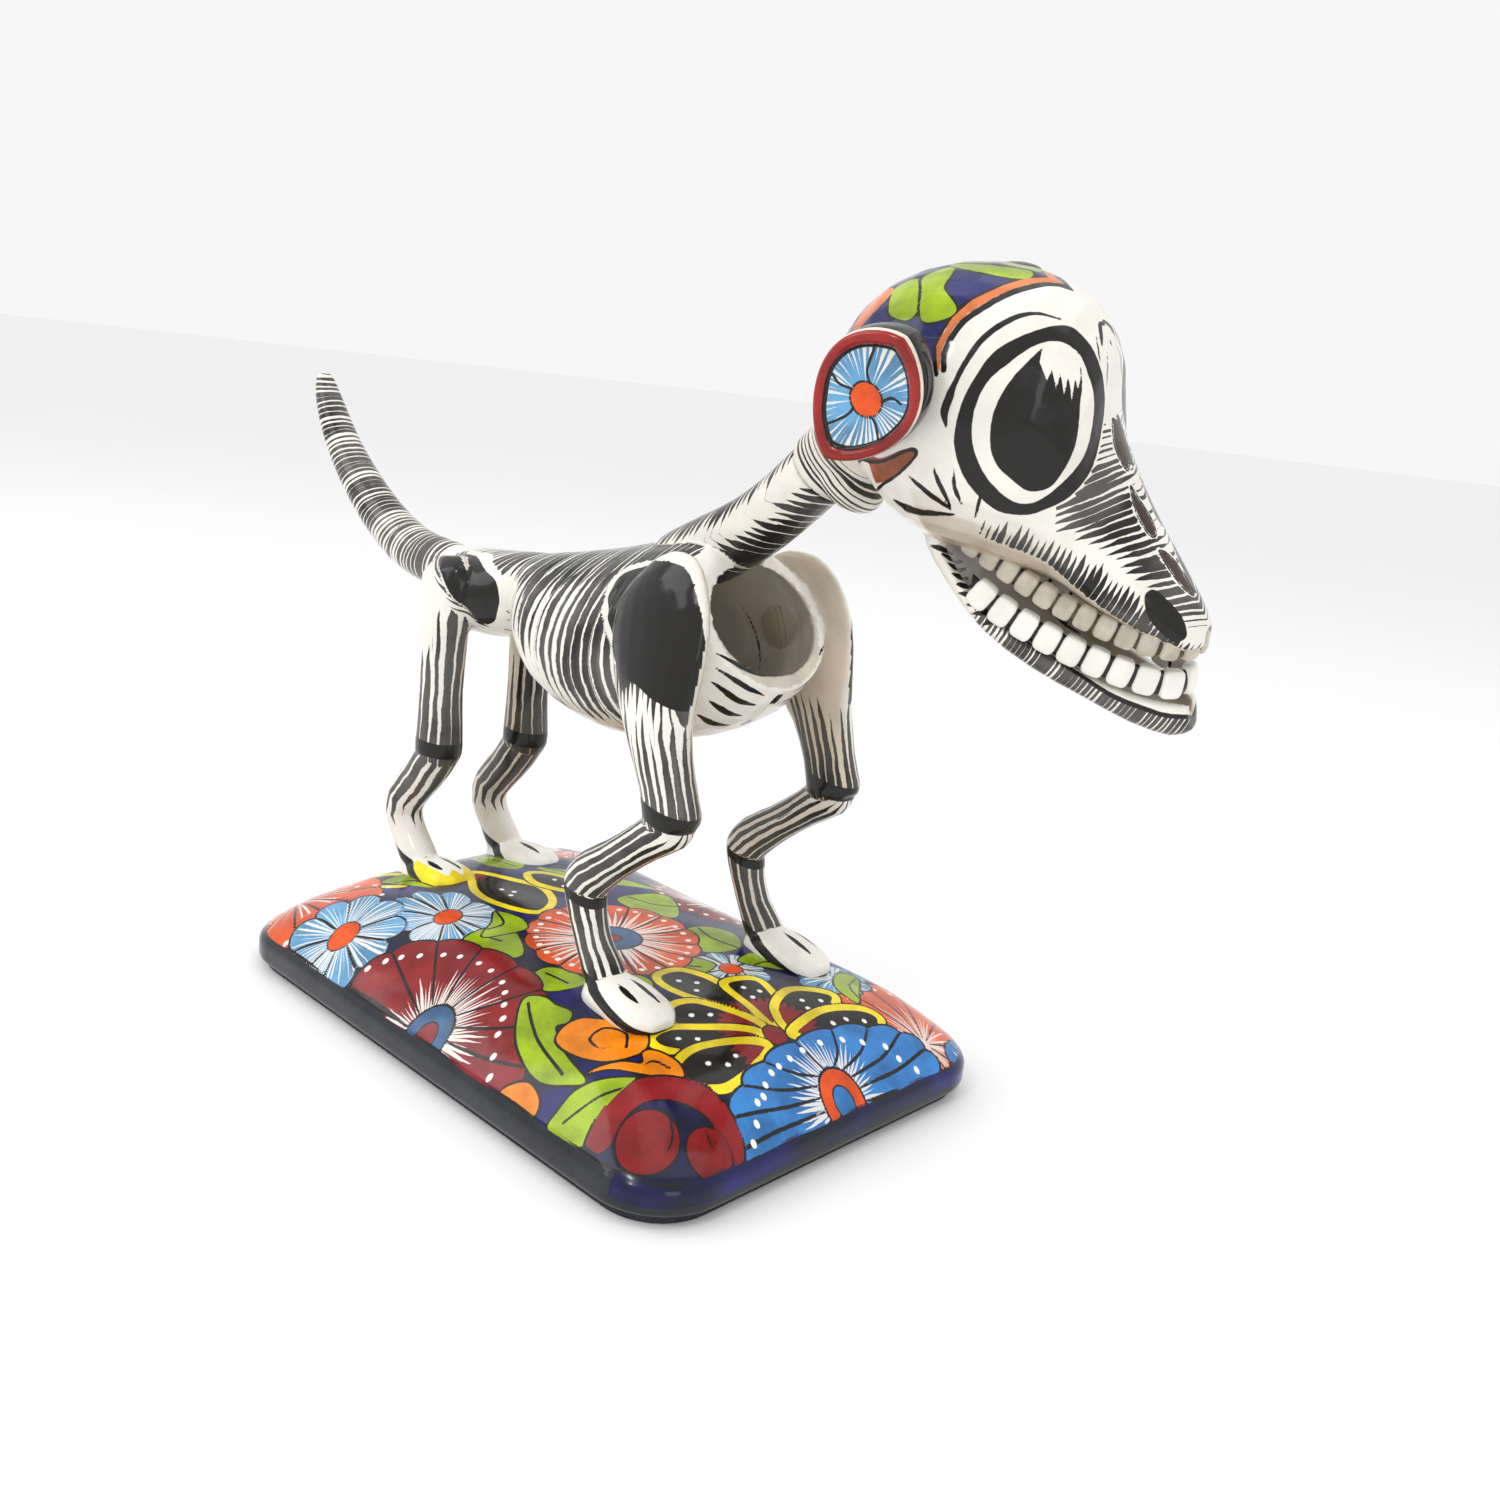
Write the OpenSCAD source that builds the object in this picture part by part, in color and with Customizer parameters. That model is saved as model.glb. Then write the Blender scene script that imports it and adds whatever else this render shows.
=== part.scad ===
// Glazed clay skeleton dog standing on a crowned oblong plinth, with a head that turns on the neck.
// +X points the way the dog faces, +Y to its left, +Z up; the origin is under the plinth's middle.

/* [Plinth] */
// Length of the plinth along the dog, at its widest
plinth_l = 277; // [270:1:286]
// Width of the plinth across the dog
plinth_w = 190; // [184:1:198]
// Corner radius of the plinth seen from above
plinth_r = 28; // [22:1:34]
// Height of the foot ring that the plinth stands on
foot_h = 4; // [3:0.5:5]
// Height where the upright rim ends and the crown starts
rim_h = 14; // [12:0.5:15]
// Height of the crown in the middle of the plinth
crown_h = 44; // [43:0.5:45]
// Thickness of the clay in the hollow pieces
wall = 5.5; // [4.5:0.5:6.5]

/* [Legs] */
// Distance from the middle plane to each front leg
front_y = 44; // [42:0.5:46]
// Distance from the middle plane to each hind leg
hind_y = 24; // [22.5:0.5:25]

/* [Head] */
// Slope of the top of the neck, which is the axis that the head turns on
neck_slope = 41; // [38:1:44]
// How far the head is turned to the dog's left at rest
rest_turn = 22; // [0:1:25]
// Radius of the round spigot on top of the neck
spigot_r = 8; // [7:0.5:8.5]
// Length of the spigot
spigot_l = 21; // [18:1:22]
// Gap between the spigot and its socket, all round
spigot_gap = 0.5; // [0.3:0.1:0.8]
// Number of teeth in each row
teeth = 21; // [17:2:25]

/* [Hidden] */
BONE = "#efe9dc";
LIMB_SIDES = 20;
BODY_SIDES = 36;
SHARE = 2;
CORNER_STEPS = 10;
// Where the neck ends and the head's turning axis starts
neck_end = [88, 0, 243];
axis = [cos(neck_slope), 0, sin(neck_slope)];
across = [-sin(neck_slope), 0, cos(neck_slope)];

// ---- Curves and lofts ----

// Point between b and c on the smooth curve through a, b, c and d
function between(a, b, c, d, t) =
    0.5 * (2 * b + (c - a) * t + (2 * a - 5 * b + 4 * c - d) * t * t + (3 * b - a - 3 * c + d) * t * t * t);

// The stations s with k steps from each one to the next, on a smooth curve
function smooth(s, k) = let (last = len(s) - 1)
    [for (i = [0:last - 1]) for (j = [0:k - 1])
        between(s[max(i - 1, 0)], s[i], s[i + 1], s[min(i + 2, last)], j / k), s[last]];

function unit(v) = v / norm(v);
function signed_pow(v, p) = sign(v) * pow(abs(v), p);

// A solid skin over a row of rings that have the same number of points. Where bow is true, a ring is a
// bow that goes out along one side and back along the other, and each end is closed in strips across it.
module loft(rings, bow = false) {
    n = len(rings[0]);
    m = len(rings);
    strips = [for (i = [0:n / 2 - 2]) [i, i + 1, n - 2 - i, n - 1 - i]];
    caps = bow
        ? concat([for (q = strips) backwards(q)], [for (q = strips) [for (v = q) (m - 1) * n + v]])
        : [[for (i = [n - 1:-1:0]) i], [for (i = [0:n - 1]) (m - 1) * n + i]];
    sides = [for (j = [0:m - 2]) for (i = [0:n - 1]) let (k = (i + 1) % n)
        each [[j * n + i, (j + 1) * n + k, (j + 1) * n + i], [j * n + i, j * n + k, (j + 1) * n + k]]];
    polyhedron([for (r = rings) each r], concat(caps, sides));
}

// Rings of a limb through stations [x, y, z, half depth fore and aft, half width across]
function limb_rings(stations, k) = let (s = smooth(stations, k), last = len(s) - 1)
    [for (i = [0:last]) let (
        d = s[min(i + 1, last)] - s[max(i - 1, 0)],
        u = unit([d[2], 0, -d[0]]))
        [for (a = [0:LIMB_SIDES - 1]) let (t = -a * 360 / LIMB_SIDES)
            [s[i][0], s[i][1], s[i][2]] + s[i][3] * cos(t) * u + [0, s[i][4] * sin(t), 0]]];

module limb(stations, k = SHARE) {
    loft(limb_rings(stations, k));
}

// Rings between a top point and a bottom point: stations [top x, top z, bottom x, bottom z, half width,
// pinch], where pinch narrows the top. grow moves the skin out, or in where it is negative.
function body_ring(s, grow) = let (
    top = [s[0], 0, s[1]],
    low = [s[2], 0, s[3]],
    mid = (top + low) / 2,
    up = unit(top - low),
    half = norm(top - low) / 2 + grow)
    [for (a = [0:BODY_SIDES - 1]) let (t = a * 360 / BODY_SIDES)
        mid + half * cos(t) * up
        + [0, -(s[4] + grow) * sin(t) * (1 - s[5] * cos(t)), 0]];

function body_rings(stations, k, grow = 0) = [for (s = smooth(stations, k)) body_ring(s, grow)];

// The same stations from the last to the first
function backwards(list) = [for (i = [len(list) - 1:-1:0]) list[i]];

module mirrored(side) {
    if (side > 0) mirror([0, 1, 0]) children();
    else children();
}

// ---- Plinth ----

// Round-cornered outline of the plinth, drawn in by inset, at height z
function plinth_ring(inset, z) = let (
    a = plinth_l / 2 - inset,
    b = plinth_w / 2 - inset,
    r = min(plinth_r + 0.45 * inset, b - 0.5))
    [for (q = [0:3]) for (i = [0:CORNER_STEPS]) let (
        t = 90 * q + 90 * i / CORNER_STEPS,
        sx = (q == 0 || q == 3) ? 1 : -1,
        sy = q < 2 ? 1 : -1)
        [sx * (a - r) + r * cos(t), sy * (b - r) + r * sin(t), z]];

function crown_z(inset) = rim_h + (crown_h - rim_h) * (1 - pow(1 - 2 * inset / plinth_w, 3.8));

module base_shell() {
    insets = [90, 76, 62, 50, 39, 29, 20, 12, 6, 2, 0.4];
    crown = [for (d = insets) plinth_ring(d, crown_z(d))];
    rim = [plinth_ring(0, rim_h - 2), plinth_ring(0, foot_h + 2), plinth_ring(1.2, foot_h)];
    inner_floor = [plinth_ring(wall + 4, foot_h), plinth_ring(wall + 4, rim_h - 3)];
    under_insets = [14, 20, 29, 39, 50, 62, 76, 88];
    underside = [for (d = under_insets) plinth_ring(d, crown_z(d) - wall - 2)];
    color("royalblue") loft(concat(crown, rim, inner_floor, underside));
}

module rounded_plate(l, w, r, h) {
    linear_extrude(h) union() {
        square([l - 2 * r, w], center = true);
        square([l, w - 2 * r], center = true);
        for (x = [-1, 1]) for (y = [-1, 1])
            translate([x * (l / 2 - r), y * (w / 2 - r)]) circle(r, $fn = 96);
    }
}

module foot_ring() {
    set_back = 4;
    land = 9;
    color("dimgray") difference() {
        rounded_plate(plinth_l - 2 * set_back, plinth_w - 2 * set_back, plinth_r - set_back, foot_h);
        translate([0, 0, -1]) rounded_plate(plinth_l - 2 * (set_back + land), plinth_w - 2 * (set_back + land),
            plinth_r - set_back - land, foot_h + 2);
    }
}

// ---- Body ----

module tail() {
    color(BONE) limb([
        [-112, 0, 173, 10, 10], [-126, 0, 174.5, 11.4, 11.2], [-144, 0, 175.5, 11.6, 11.6],
        [-163, 0, 179.5, 11.2, 11.4], [-186, 0, 190, 10.2, 10.6], [-209, 0, 206, 9, 9.6], [-226, 0, 222, 7.9, 8.4],
        [-238, 0, 238.5, 6.4, 6.8], [-243.5, 0, 249, 4.4, 4.6], [-245, 0, 252.5, 2, 2.2]]);
}

module pelvis() {
    color(BONE) loft(backwards(body_rings([
        [-121, 177, -120, 166, 7, 0], [-116, 182.5, -116, 158, 16, 0], [-105, 186.5, -106, 152, 23.5, 0.05],
        [-90, 188, -92, 150, 25.5, 0.08], [-76, 189.5, -78, 151, 23.5, 0.1], [-64, 191, -66, 155, 18, 0.1],
        [-54, 192, -57, 161, 12, 0.1]], SHARE)));
}

rib_stations = [
    [-63, 190, -60, 160, 15, 0.1], [-50, 193, -48, 149, 24, 0.16], [-30, 197, -28, 136.5, 31.5, 0.2],
    [-6, 202.5, -3, 130.5, 36.5, 0.2], [18, 209, 23, 131, 38.5, 0.18], [38, 214, 50, 138.5, 38, 0.12],
    [51, 214, 71, 150, 36, 0.05], [57, 210, 85, 165, 31.5, 0]];

// Bowl of ribs, hollow and open towards the front
module rib_cage() {
    outer = body_rings(rib_stations, SHARE);
    lip = len(rib_stations) - 1;
    inner_stations = [for (i = [1:lip]) rib_stations[i]];
    inner = backwards(body_rings(inner_stations, SHARE, -wall));
    color(BONE) loft(backwards(concat(outer, inner)));
}

module neck() {
    end = neck_end;
    color(BONE) limb([
        [10, 0, 197, 7, 9], [24, 0, 201.5, 12, 14], [42, 0, 209.5, 13.2, 14], [59, 0, 219.3, 12.4, 12.8],
        [73.5, 0, 230.2, 12, 12.2],
        [end[0] - 5 * axis[0], 0, end[2] - 5 * axis[2], 12, 12], [end[0], 0, end[2], 12, 12]]);
}

// Draws its children with +Z along the head's turning axis, from the end of the neck
module on_axis() {
    translate(neck_end) rotate([0, 90 - neck_slope, 0]) children();
}

module neck_spigot() {
    color("tan") on_axis() cylinder(r = spigot_r, h = spigot_l, $fn = 64);
}

// ---- Legs ----

// Shoulder blade and upper arm: one broad slab that narrows to the knee
module front_upper_leg(side) {
    y = front_y;
    color(BONE) mirrored(side) limb([
        [46, -30, 207, 6, 3.5], [48.5, -32.5, 202.5, 17, 6], [52, -35.5, 194, 23, 7.2], [56.5, -38.5, 180, 24.5, 8],
        [61.5, -41.5, 162, 20, 9.2], [67.5, -y, 146, 13.4, 9.8], [73.5, -y, 131, 11, 9.6],
        [77.5, -y, 119.5, 11.6, 9.8], [79, -y, 115.5, 9.8, 8.6]]);
}

module front_forearm(side) {
    y = front_y;
    color(BONE) mirrored(side) limb([
        [83.5, -y, 120.5, 5.6, 6], [78, -y, 117.2, 9, 9], [66, -y, 108, 7.8, 8.2], [52, -y, 97.3, 7.8, 8],
        [40, -y, 87.8, 9.2, 8.8], [34, -y, 81, 8.8, 8.4], [31.5, -y, 77, 6, 6]]);
}

module front_wrist(side) {
    y = front_y;
    color(BONE) mirrored(side) limb([
        [34.5, -y, 86, 5.8, 6], [35, -y, 80, 8.6, 8.2], [38, -y, 69, 7.2, 7.4], [43.5, -y, 58, 7, 7.2],
        [50, -y, 49.5, 8.2, 8], [52.5, -y, 45.5, 7.4, 7.4]]);
}

// Paw that lies along the crown, from heel to toes, drawn from stations [x, z, half height, half width]
module paw(stations, y, side) {
    color(BONE) mirrored(side) limb([for (s = stations) [s[0], -y, s[1], s[2], s[3]]]);
}

module front_paw(side) {
    paw([[44.5, 40, 2.5, 4], [47, 41, 5.8, 8.4], [53, 43, 8.6, 10.8], [62, 43.5, 9, 12], [71, 42.5, 8.4, 12.2],
        [79, 42, 6.8, 10.6], [84, 41.5, 3, 5.5]], front_y, side);
}

module hind_thigh(side) {
    y = hind_y;
    color(BONE) mirrored(side) limb([
        [-99, -y + 5, 184, 7, 4], [-98, -y + 1, 178, 14.5, 6.5], [-95, -y, 165, 14.5, 8.5],
        [-94.5, -y, 148, 11.5, 9.5], [-94.5, -y, 125, 9.8, 9.5], [-94, -y, 106, 11, 10],
        [-94, -y, 97, 11.2, 10], [-94.5, -y, 93, 8.5, 8]]);
}

module hind_shank(side) {
    y = hind_y;
    color(BONE) mirrored(side) limb([
        [-91, -y, 103, 6, 6.5], [-94, -y, 97, 10, 9.4], [-104, -y, 84, 9.6, 9], [-116, -y, 71, 9.4, 8.8],
        [-118.5, -y, 61, 8.8, 8.4], [-112, -y, 52, 7.8, 8], [-104, -y, 43, 8.6, 8.4], [-102, -y, 39, 7, 7]]);
}

module hind_paw(side) {
    paw([[-111, 32, 2.5, 4], [-108, 34, 6.4, 8.4], [-101, 36.5, 8.8, 10.8], [-92, 38.5, 9.2, 12], [-82, 39.5, 8.6, 12],
        [-74, 40.5, 7, 10.6], [-69, 41, 3, 5.5]], hind_y, side);
}

// ---- Head, drawn looking straight ahead and then turned on the neck's axis ----

module turned() {
    translate(neck_end) rotate(a = rest_turn, v = axis) translate(-neck_end) children();
}

// Cup that takes the spigot, with a throat that swells out below it to meet the skull
module neck_socket() {
    bore = spigot_r + spigot_gap;
    rim_r = 13.2;
    rim = 0.8;
    closed_end = spigot_l + 15;
    color("wheat") turned() on_axis() difference() {
        union() {
            rotate_extrude($fn = 64) polygon([
                [0, rim], [rim_r - 1, rim], [rim_r, rim + 0.9], [13.4, 6], [13.6, 12], [14.8, 18], [17, 24],
                [18, 29], [17, closed_end - 1.5], [0, closed_end]]);
            translate([7.5, 0, 9.5]) scale([15, 14.5, 8.7]) sphere(1, $fn = 32);
        }
        translate([0, 0, -5]) cylinder(r = bore, h = spigot_l + 7, $fn = 64);
    }
}

skull_stations = [
    [103, 279, 120, 250, 20, 0], [104, 294, 127, 236, 32, 0], [118, 307.5, 135, 229, 40, 0],
    [139, 314, 145, 226, 43.5, 0], [162, 312.5, 155, 223, 42, 0], [181, 303.5, 165, 220, 37.5, 0.02],
    [189.5, 288, 176, 217.5, 31, 0.08], [190, 272, 186, 212, 25.5, 0.18], [196, 256, 195, 207, 22, 0.26],
    [204.5, 240, 204, 203, 19, 0.3], [214.5, 224, 213, 200, 15.5, 0.28], [222.5, 210.5, 220, 198.5, 11.5, 0.2],
    [225.5, 204, 224.5, 200, 4, 0]];

// Hollow cranium and muzzle, open where the neck socket sits
module skull() {
    outer = body_rings(skull_stations, SHARE);
    deeper = [6, 4, 6, 4, 0, 0];
    inner_stations = [for (i = [0:len(skull_stations) - 4]) skull_stations[i] + max(1 - i / 3, 0) * deeper];
    inner = backwards(body_rings(inner_stations, SHARE, -wall));
    color(BONE) turned() loft(concat(backwards(inner), backwards(outer)));
}

// Almond-shaped ear plate with a rim and a shallow dish, on the right side where side is -1
module ear(side) {
    long_half = 25;
    short_half = 17;
    tip = 0.72;
    profile = [[0.5, 0], [0.88, 2], [0.97, 6], [1, 10], [0.97, 13], [0.9, 14.6], [0.8, 14.6], [0.72, 13.2],
        [0.4, 12.6]];
    steps = 28;
    outline = [for (i = [0:steps - 1]) let (t = -360 * i / steps)
        [long_half * cos(t), short_half * signed_pow(sin(t), 1 / tip) * (1 + 0.1 * cos(t))]];
    color("firebrick") turned() mirrored(side)
        translate([132.5, -41, 285.5]) rotate([94, 0, -4]) rotate(52)
        loft([for (p = profile) [for (q = outline) [q[0] * p[0], q[1] * p[0], p[1]]]]);
}

jaw_stations = [
    [137, 239, 132, 234, 19], [141, 231, 134, 226.5, 21.5], [148.5, 219.5, 143, 214, 23], [160, 207, 155, 200, 23.5],
    [175, 198, 171.5, 188, 22], [190, 190.5, 188.5, 179.5, 19.5], [204, 184.5, 204, 171.5, 16],
    [215, 181, 217, 167.5, 11.5], [221, 179, 223, 170, 6.5]];

// Shallow tray of the lower jaw: one ring is the outer bow and, inside it, the inner bow
function jaw_ring(s) = let (
    top = [s[0], 0, s[1]],
    low = [s[2], 0, s[3]],
    inner_w = max(s[4] - wall, 1.5),
    steps = 14)
    concat(
        [for (i = [0:steps]) let (t = 180 * i / steps)
            top + [0, s[4] * signed_pow(cos(t), 0.8), 0] + (low - top) * pow(sin(t), 0.7)],
        [for (i = [steps:-1:0]) let (t = 180 * i / steps)
            top + [0, inner_w * signed_pow(cos(t), 0.8), 0] + (low - top) * 0.45 * pow(sin(t), 0.8)]);

module lower_jaw() {
    color(BONE) turned() loft([for (s = smooth(jaw_stations, SHARE)) jaw_ring(s)], bow = true);
}

// One row of teeth: a scalloped strip that follows the gum from the right side round to the left.
// gum holds [x, z, distance from the middle]; rise is the teeth's height, down where it is negative.
module tooth_row(gum, tip_x, rise) {
    right = [for (g = gum) [g[0], -g[2], g[1]]];
    left = [for (i = [len(gum) - 1:-1:0]) [gum[i][0], gum[i][2], gum[i][1]]];
    path = smooth(concat(right, [[tip_x, 0, gum[len(gum) - 1][1]]], left), 12);
    count = teeth * 4;
    last = len(path) - 1;
    rings = [for (i = [0:count]) let (
        f = i / count * last,
        a = path[floor(f)],
        b = path[min(floor(f) + 1, last)],
        p = a + (b - a) * (f - floor(f)),
        d = path[min(floor(f) + 1, last)] - path[max(floor(f) - 1, 0)],
        out = unit([d[1], -d[0], 0]),
        swell = pow(abs(sin(180 * i / 4)), 0.5),
        h = rise * (0.72 + 0.28 * swell),
        thick = 1.5 + 1.3 * swell)
        [for (c = [[-0.9, -0.15], [0.9, -0.15], [1, 0.6], [0.5, 1], [-0.5, 1], [-1, 0.6]])
            p + out * c[0] * thick + [0, 0, c[1] * h]]];
    turned() loft(rise > 0 ? rings : backwards(rings));
}

module upper_teeth() {
    color("ivory") tooth_row([[150, 232, 19.5], [163, 225, 20.5], [177, 217, 20.5], [190, 210.5, 19], [203, 205, 16.5],
        [214, 201.5, 12.5], [220, 200, 7]], 222.5, -7);
}

module lower_teeth() {
    color("ivory") tooth_row([[153.5, 211.5, 21.5], [162, 205, 21], [175, 197.5, 19.2], [190, 190.5, 16.7],
        [204, 185, 13.2], [214, 181.8, 8.6], [218, 181, 4.5]], 219.8, 11.5);
}

base_shell();
foot_ring();
tail();
pelvis();
rib_cage();
neck();
neck_spigot();
front_upper_leg(-1);  // front_right_upper_leg
front_forearm(-1);  // front_right_forearm
front_wrist(-1);  // front_right_wrist
front_paw(-1);  // front_right_paw
front_upper_leg(1);  // front_left_upper_leg
front_forearm(1);  // front_left_forearm
front_wrist(1);  // front_left_wrist
front_paw(1);  // front_left_paw
hind_thigh(-1);  // hind_right_thigh
hind_shank(-1);  // hind_right_shank
hind_paw(-1);  // hind_right_paw
hind_thigh(1);  // hind_left_thigh
hind_shank(1);  // hind_left_shank
hind_paw(1);  // hind_left_paw
neck_socket();
skull();
ear(-1);  // ear_right
ear(1);  // ear_left
lower_jaw();
upper_teeth();
lower_teeth();
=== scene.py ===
import math
import bpy
import numpy as np
from mathutils import Matrix, Vector
from mathutils.bvhtree import BVHTree


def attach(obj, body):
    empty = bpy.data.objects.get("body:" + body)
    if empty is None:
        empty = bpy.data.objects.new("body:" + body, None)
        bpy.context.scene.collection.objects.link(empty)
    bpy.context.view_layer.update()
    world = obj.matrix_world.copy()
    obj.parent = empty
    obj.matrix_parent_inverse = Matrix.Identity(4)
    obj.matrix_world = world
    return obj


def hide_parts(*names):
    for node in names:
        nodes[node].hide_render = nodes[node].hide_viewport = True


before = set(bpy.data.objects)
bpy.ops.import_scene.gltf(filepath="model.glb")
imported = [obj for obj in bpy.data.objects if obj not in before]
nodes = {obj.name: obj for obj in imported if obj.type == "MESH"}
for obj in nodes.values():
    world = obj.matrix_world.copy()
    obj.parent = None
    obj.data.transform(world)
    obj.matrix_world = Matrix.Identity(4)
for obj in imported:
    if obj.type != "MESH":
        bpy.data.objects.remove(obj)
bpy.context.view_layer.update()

# Everything is worked out in millimetres and turned to metres when it is stored.
MM = 0.001
# Signed distances are cut off here: nothing painted needs to know of anything farther away.
FAR = 4.0
# A stroke's ink below zero paints nothing; this is well below.
BARE = -0.5

# ---------------------------------------------------------------- meshes

def arrays(obj):
    """Vertices in millimetres and the polygons of an object."""
    me = obj.data
    co = np.empty(len(me.vertices) * 3)
    me.vertices.foreach_get("co", co)
    return co.reshape(-1, 3) / MM, [tuple(p.vertices) for p in me.polygons]


def new_object(name, co, faces):
    """A smooth-shaded mesh object from vertices in millimetres."""
    me = bpy.data.meshes.new(name)
    me.from_pydata((np.asarray(co) * MM).tolist(), [], faces)
    me.validate()
    me.shade_smooth()
    obj = bpy.data.objects.new(name, me)
    bpy.context.scene.collection.objects.link(obj)
    return obj


def evaluated(obj, name):
    """Swaps an object for its mesh with all modifiers applied."""
    dg = bpy.context.evaluated_depsgraph_get()
    me = bpy.data.meshes.new_from_object(obj.evaluated_get(dg))
    me.name = name
    bpy.data.objects.remove(obj)
    out = bpy.data.objects.new(name, me)
    bpy.context.scene.collection.objects.link(out)
    return out


def fused(name, parts, voxel, rounds, move=None):
    """One skin round copies of CAD nodes, melted together as luted clay is."""
    co, faces, n = [], [], 0
    for part in parts:
        c, f = arrays(nodes[part])
        co.append(c if move is None else move(c))
        faces += [tuple(i + n for i in p) for p in f]
        n += len(c)
    obj = new_object(name + "_raw", np.concatenate(co), faces)
    mod = obj.modifiers.new("melt", "REMESH")
    mod.mode = "VOXEL"
    mod.voxel_size = voxel * MM
    mod.adaptivity = 0
    mod = obj.modifiers.new("wet_sponge", "SMOOTH")
    mod.factor = 0.5
    mod.iterations = rounds
    return evaluated(obj, name)


def mesh_data(obj):
    """Vertices in millimetres, their normals, and the loops, loop starts and sizes of the faces."""
    me = obj.data
    n = len(me.vertices)
    co, no = np.empty(n * 3), np.empty(n * 3)
    me.vertices.foreach_get("co", co)
    me.vertex_normals.foreach_get("vector", no)
    loops = np.empty(len(me.loops), dtype=np.int64)
    me.loops.foreach_get("vertex_index", loops)
    start = np.empty(len(me.polygons), dtype=np.int64)
    total = np.empty(len(me.polygons), dtype=np.int64)
    me.polygons.foreach_get("loop_start", start)
    me.polygons.foreach_get("loop_total", total)
    return co.reshape(-1, 3) / MM, no.reshape(-1, 3), loops, start, total


def set_co(obj, co):
    obj.data.vertices.foreach_set("co", (co * MM).ravel())
    obj.data.update()


def put(obj, name, values):
    """Stores one number or one vector for each vertex, for the shader to read."""
    values = np.asarray(values, dtype=np.float32)
    kind = "FLOAT" if values.ndim == 1 else "FLOAT_VECTOR"
    a = obj.data.attributes.new(name, kind, "POINT")
    a.data.foreach_set("value" if values.ndim == 1 else "vector", values.ravel())


def split(obj, label, names, fields):
    """Cuts a painted skin into one object per label and keeps its normals across the cuts."""
    co, no, loops, start, total = mesh_data(obj)
    face_label = label[loops[start]]
    out = {}
    for i, name in enumerate(names):
        faces = np.where(face_label == i)[0]
        if not len(faces):
            continue
        polys = [loops[s:s + t] for s, t in zip(start[faces], total[faces])]
        used = np.unique(np.concatenate(polys))
        back = np.full(len(co), -1)
        back[used] = np.arange(len(used))
        piece = new_object(name, co[used], [tuple(back[p]) for p in polys])
        for key, v in fields.items():
            put(piece, key, v[used])
        piece.data.normals_split_custom_set_from_vertices(no[used].tolist())
        out[name] = piece
    bpy.data.objects.remove(obj)
    return out


# ---------------------------------------------------------------- shapes in a plane, in millimetres

def curve(points, closed=True, k=6):
    """Smooth line through the points, with k steps between each two."""
    p = np.asarray(points, float)
    n = len(p)
    out = []
    for i in range(n if closed else n - 1):
        if closed:
            a, b, c, d = p[i - 1], p[i], p[(i + 1) % n], p[(i + 2) % n]
        else:
            a, b, c, d = p[max(i - 1, 0)], p[i], p[i + 1], p[min(i + 2, n - 1)]
        for t in np.arange(k) / k:
            out.append(0.5 * (2 * b + (c - a) * t + (2 * a - 5 * b + 4 * c - d) * t * t
                              + (3 * b - a - 3 * c + d) * t ** 3))
    if not closed:
        out.append(p[-1])
    return np.array(out)


def near_box(P, pts, reach):
    lo, hi = pts.min(0) - reach, pts.max(0) + reach
    return np.all((P > lo) & (P < hi), axis=1)


def to_segments(Q, pts):
    """Distance from each point to a polyline and how far along it the nearest place is, 0 to 1."""
    best = np.full(len(Q), 1e9)
    where = np.zeros(len(Q))
    step = np.linalg.norm(np.diff(pts, axis=0), axis=1)
    run = np.concatenate([[0], np.cumsum(step)])
    for i in range(len(pts) - 1):
        a, d = pts[i], pts[i + 1] - pts[i]
        t = np.clip(((Q - a) @ d) / max(d @ d, 1e-9), 0, 1)
        r = np.linalg.norm(Q - a - t[:, None] * d, axis=1)
        m = r < best
        best[m] = r[m]
        where[m] = ((run[i] + t * step[i]) / run[-1])[m]
    return best, where


def blob(P, points, smooth=True):
    """Signed distance to a closed outline, positive inside."""
    pts = curve(points) if smooth else np.asarray(points, float)
    out = np.full(len(P), -FAR)
    m = near_box(P, pts, FAR)
    Q = P[m]
    if not len(Q):
        return out
    ring = np.vstack([pts, pts[:1]])
    d, _ = to_segments(Q, ring)
    inside = np.zeros(len(Q), bool)
    for a, b in zip(ring[:-1], ring[1:]):
        crosses = (a[1] > Q[:, 1]) != (b[1] > Q[:, 1])
        x = a[0] + (Q[:, 1] - a[1]) / (b[1] - a[1] + 1e-12) * (b[0] - a[0])
        inside ^= crosses & (Q[:, 0] < x)
    out[m] = np.clip(np.where(inside, d, -d), -FAR, FAR)
    return out


def stroke(P, points, width, taper=(1.0, 1.0)):
    """Brush line of that full width; taper gives the width left at its start and its end."""
    pts = curve(points, closed=False)
    out = np.full(len(P), -FAR)
    m = near_box(P, pts, FAR)
    if not m.any():
        return out
    d, t = to_segments(P[m], pts)
    w = width / 2 * np.minimum(1, np.minimum(taper[0] + (1 - taper[0]) * t * 3,
                                             taper[1] + (1 - taper[1]) * (1 - t) * 3))
    out[m] = np.clip(w - d, -FAR, FAR)
    return out


def disc(P, c, r):
    return np.clip(r - np.linalg.norm(P - np.asarray(c, float), axis=1), -FAR, FAR)


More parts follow.
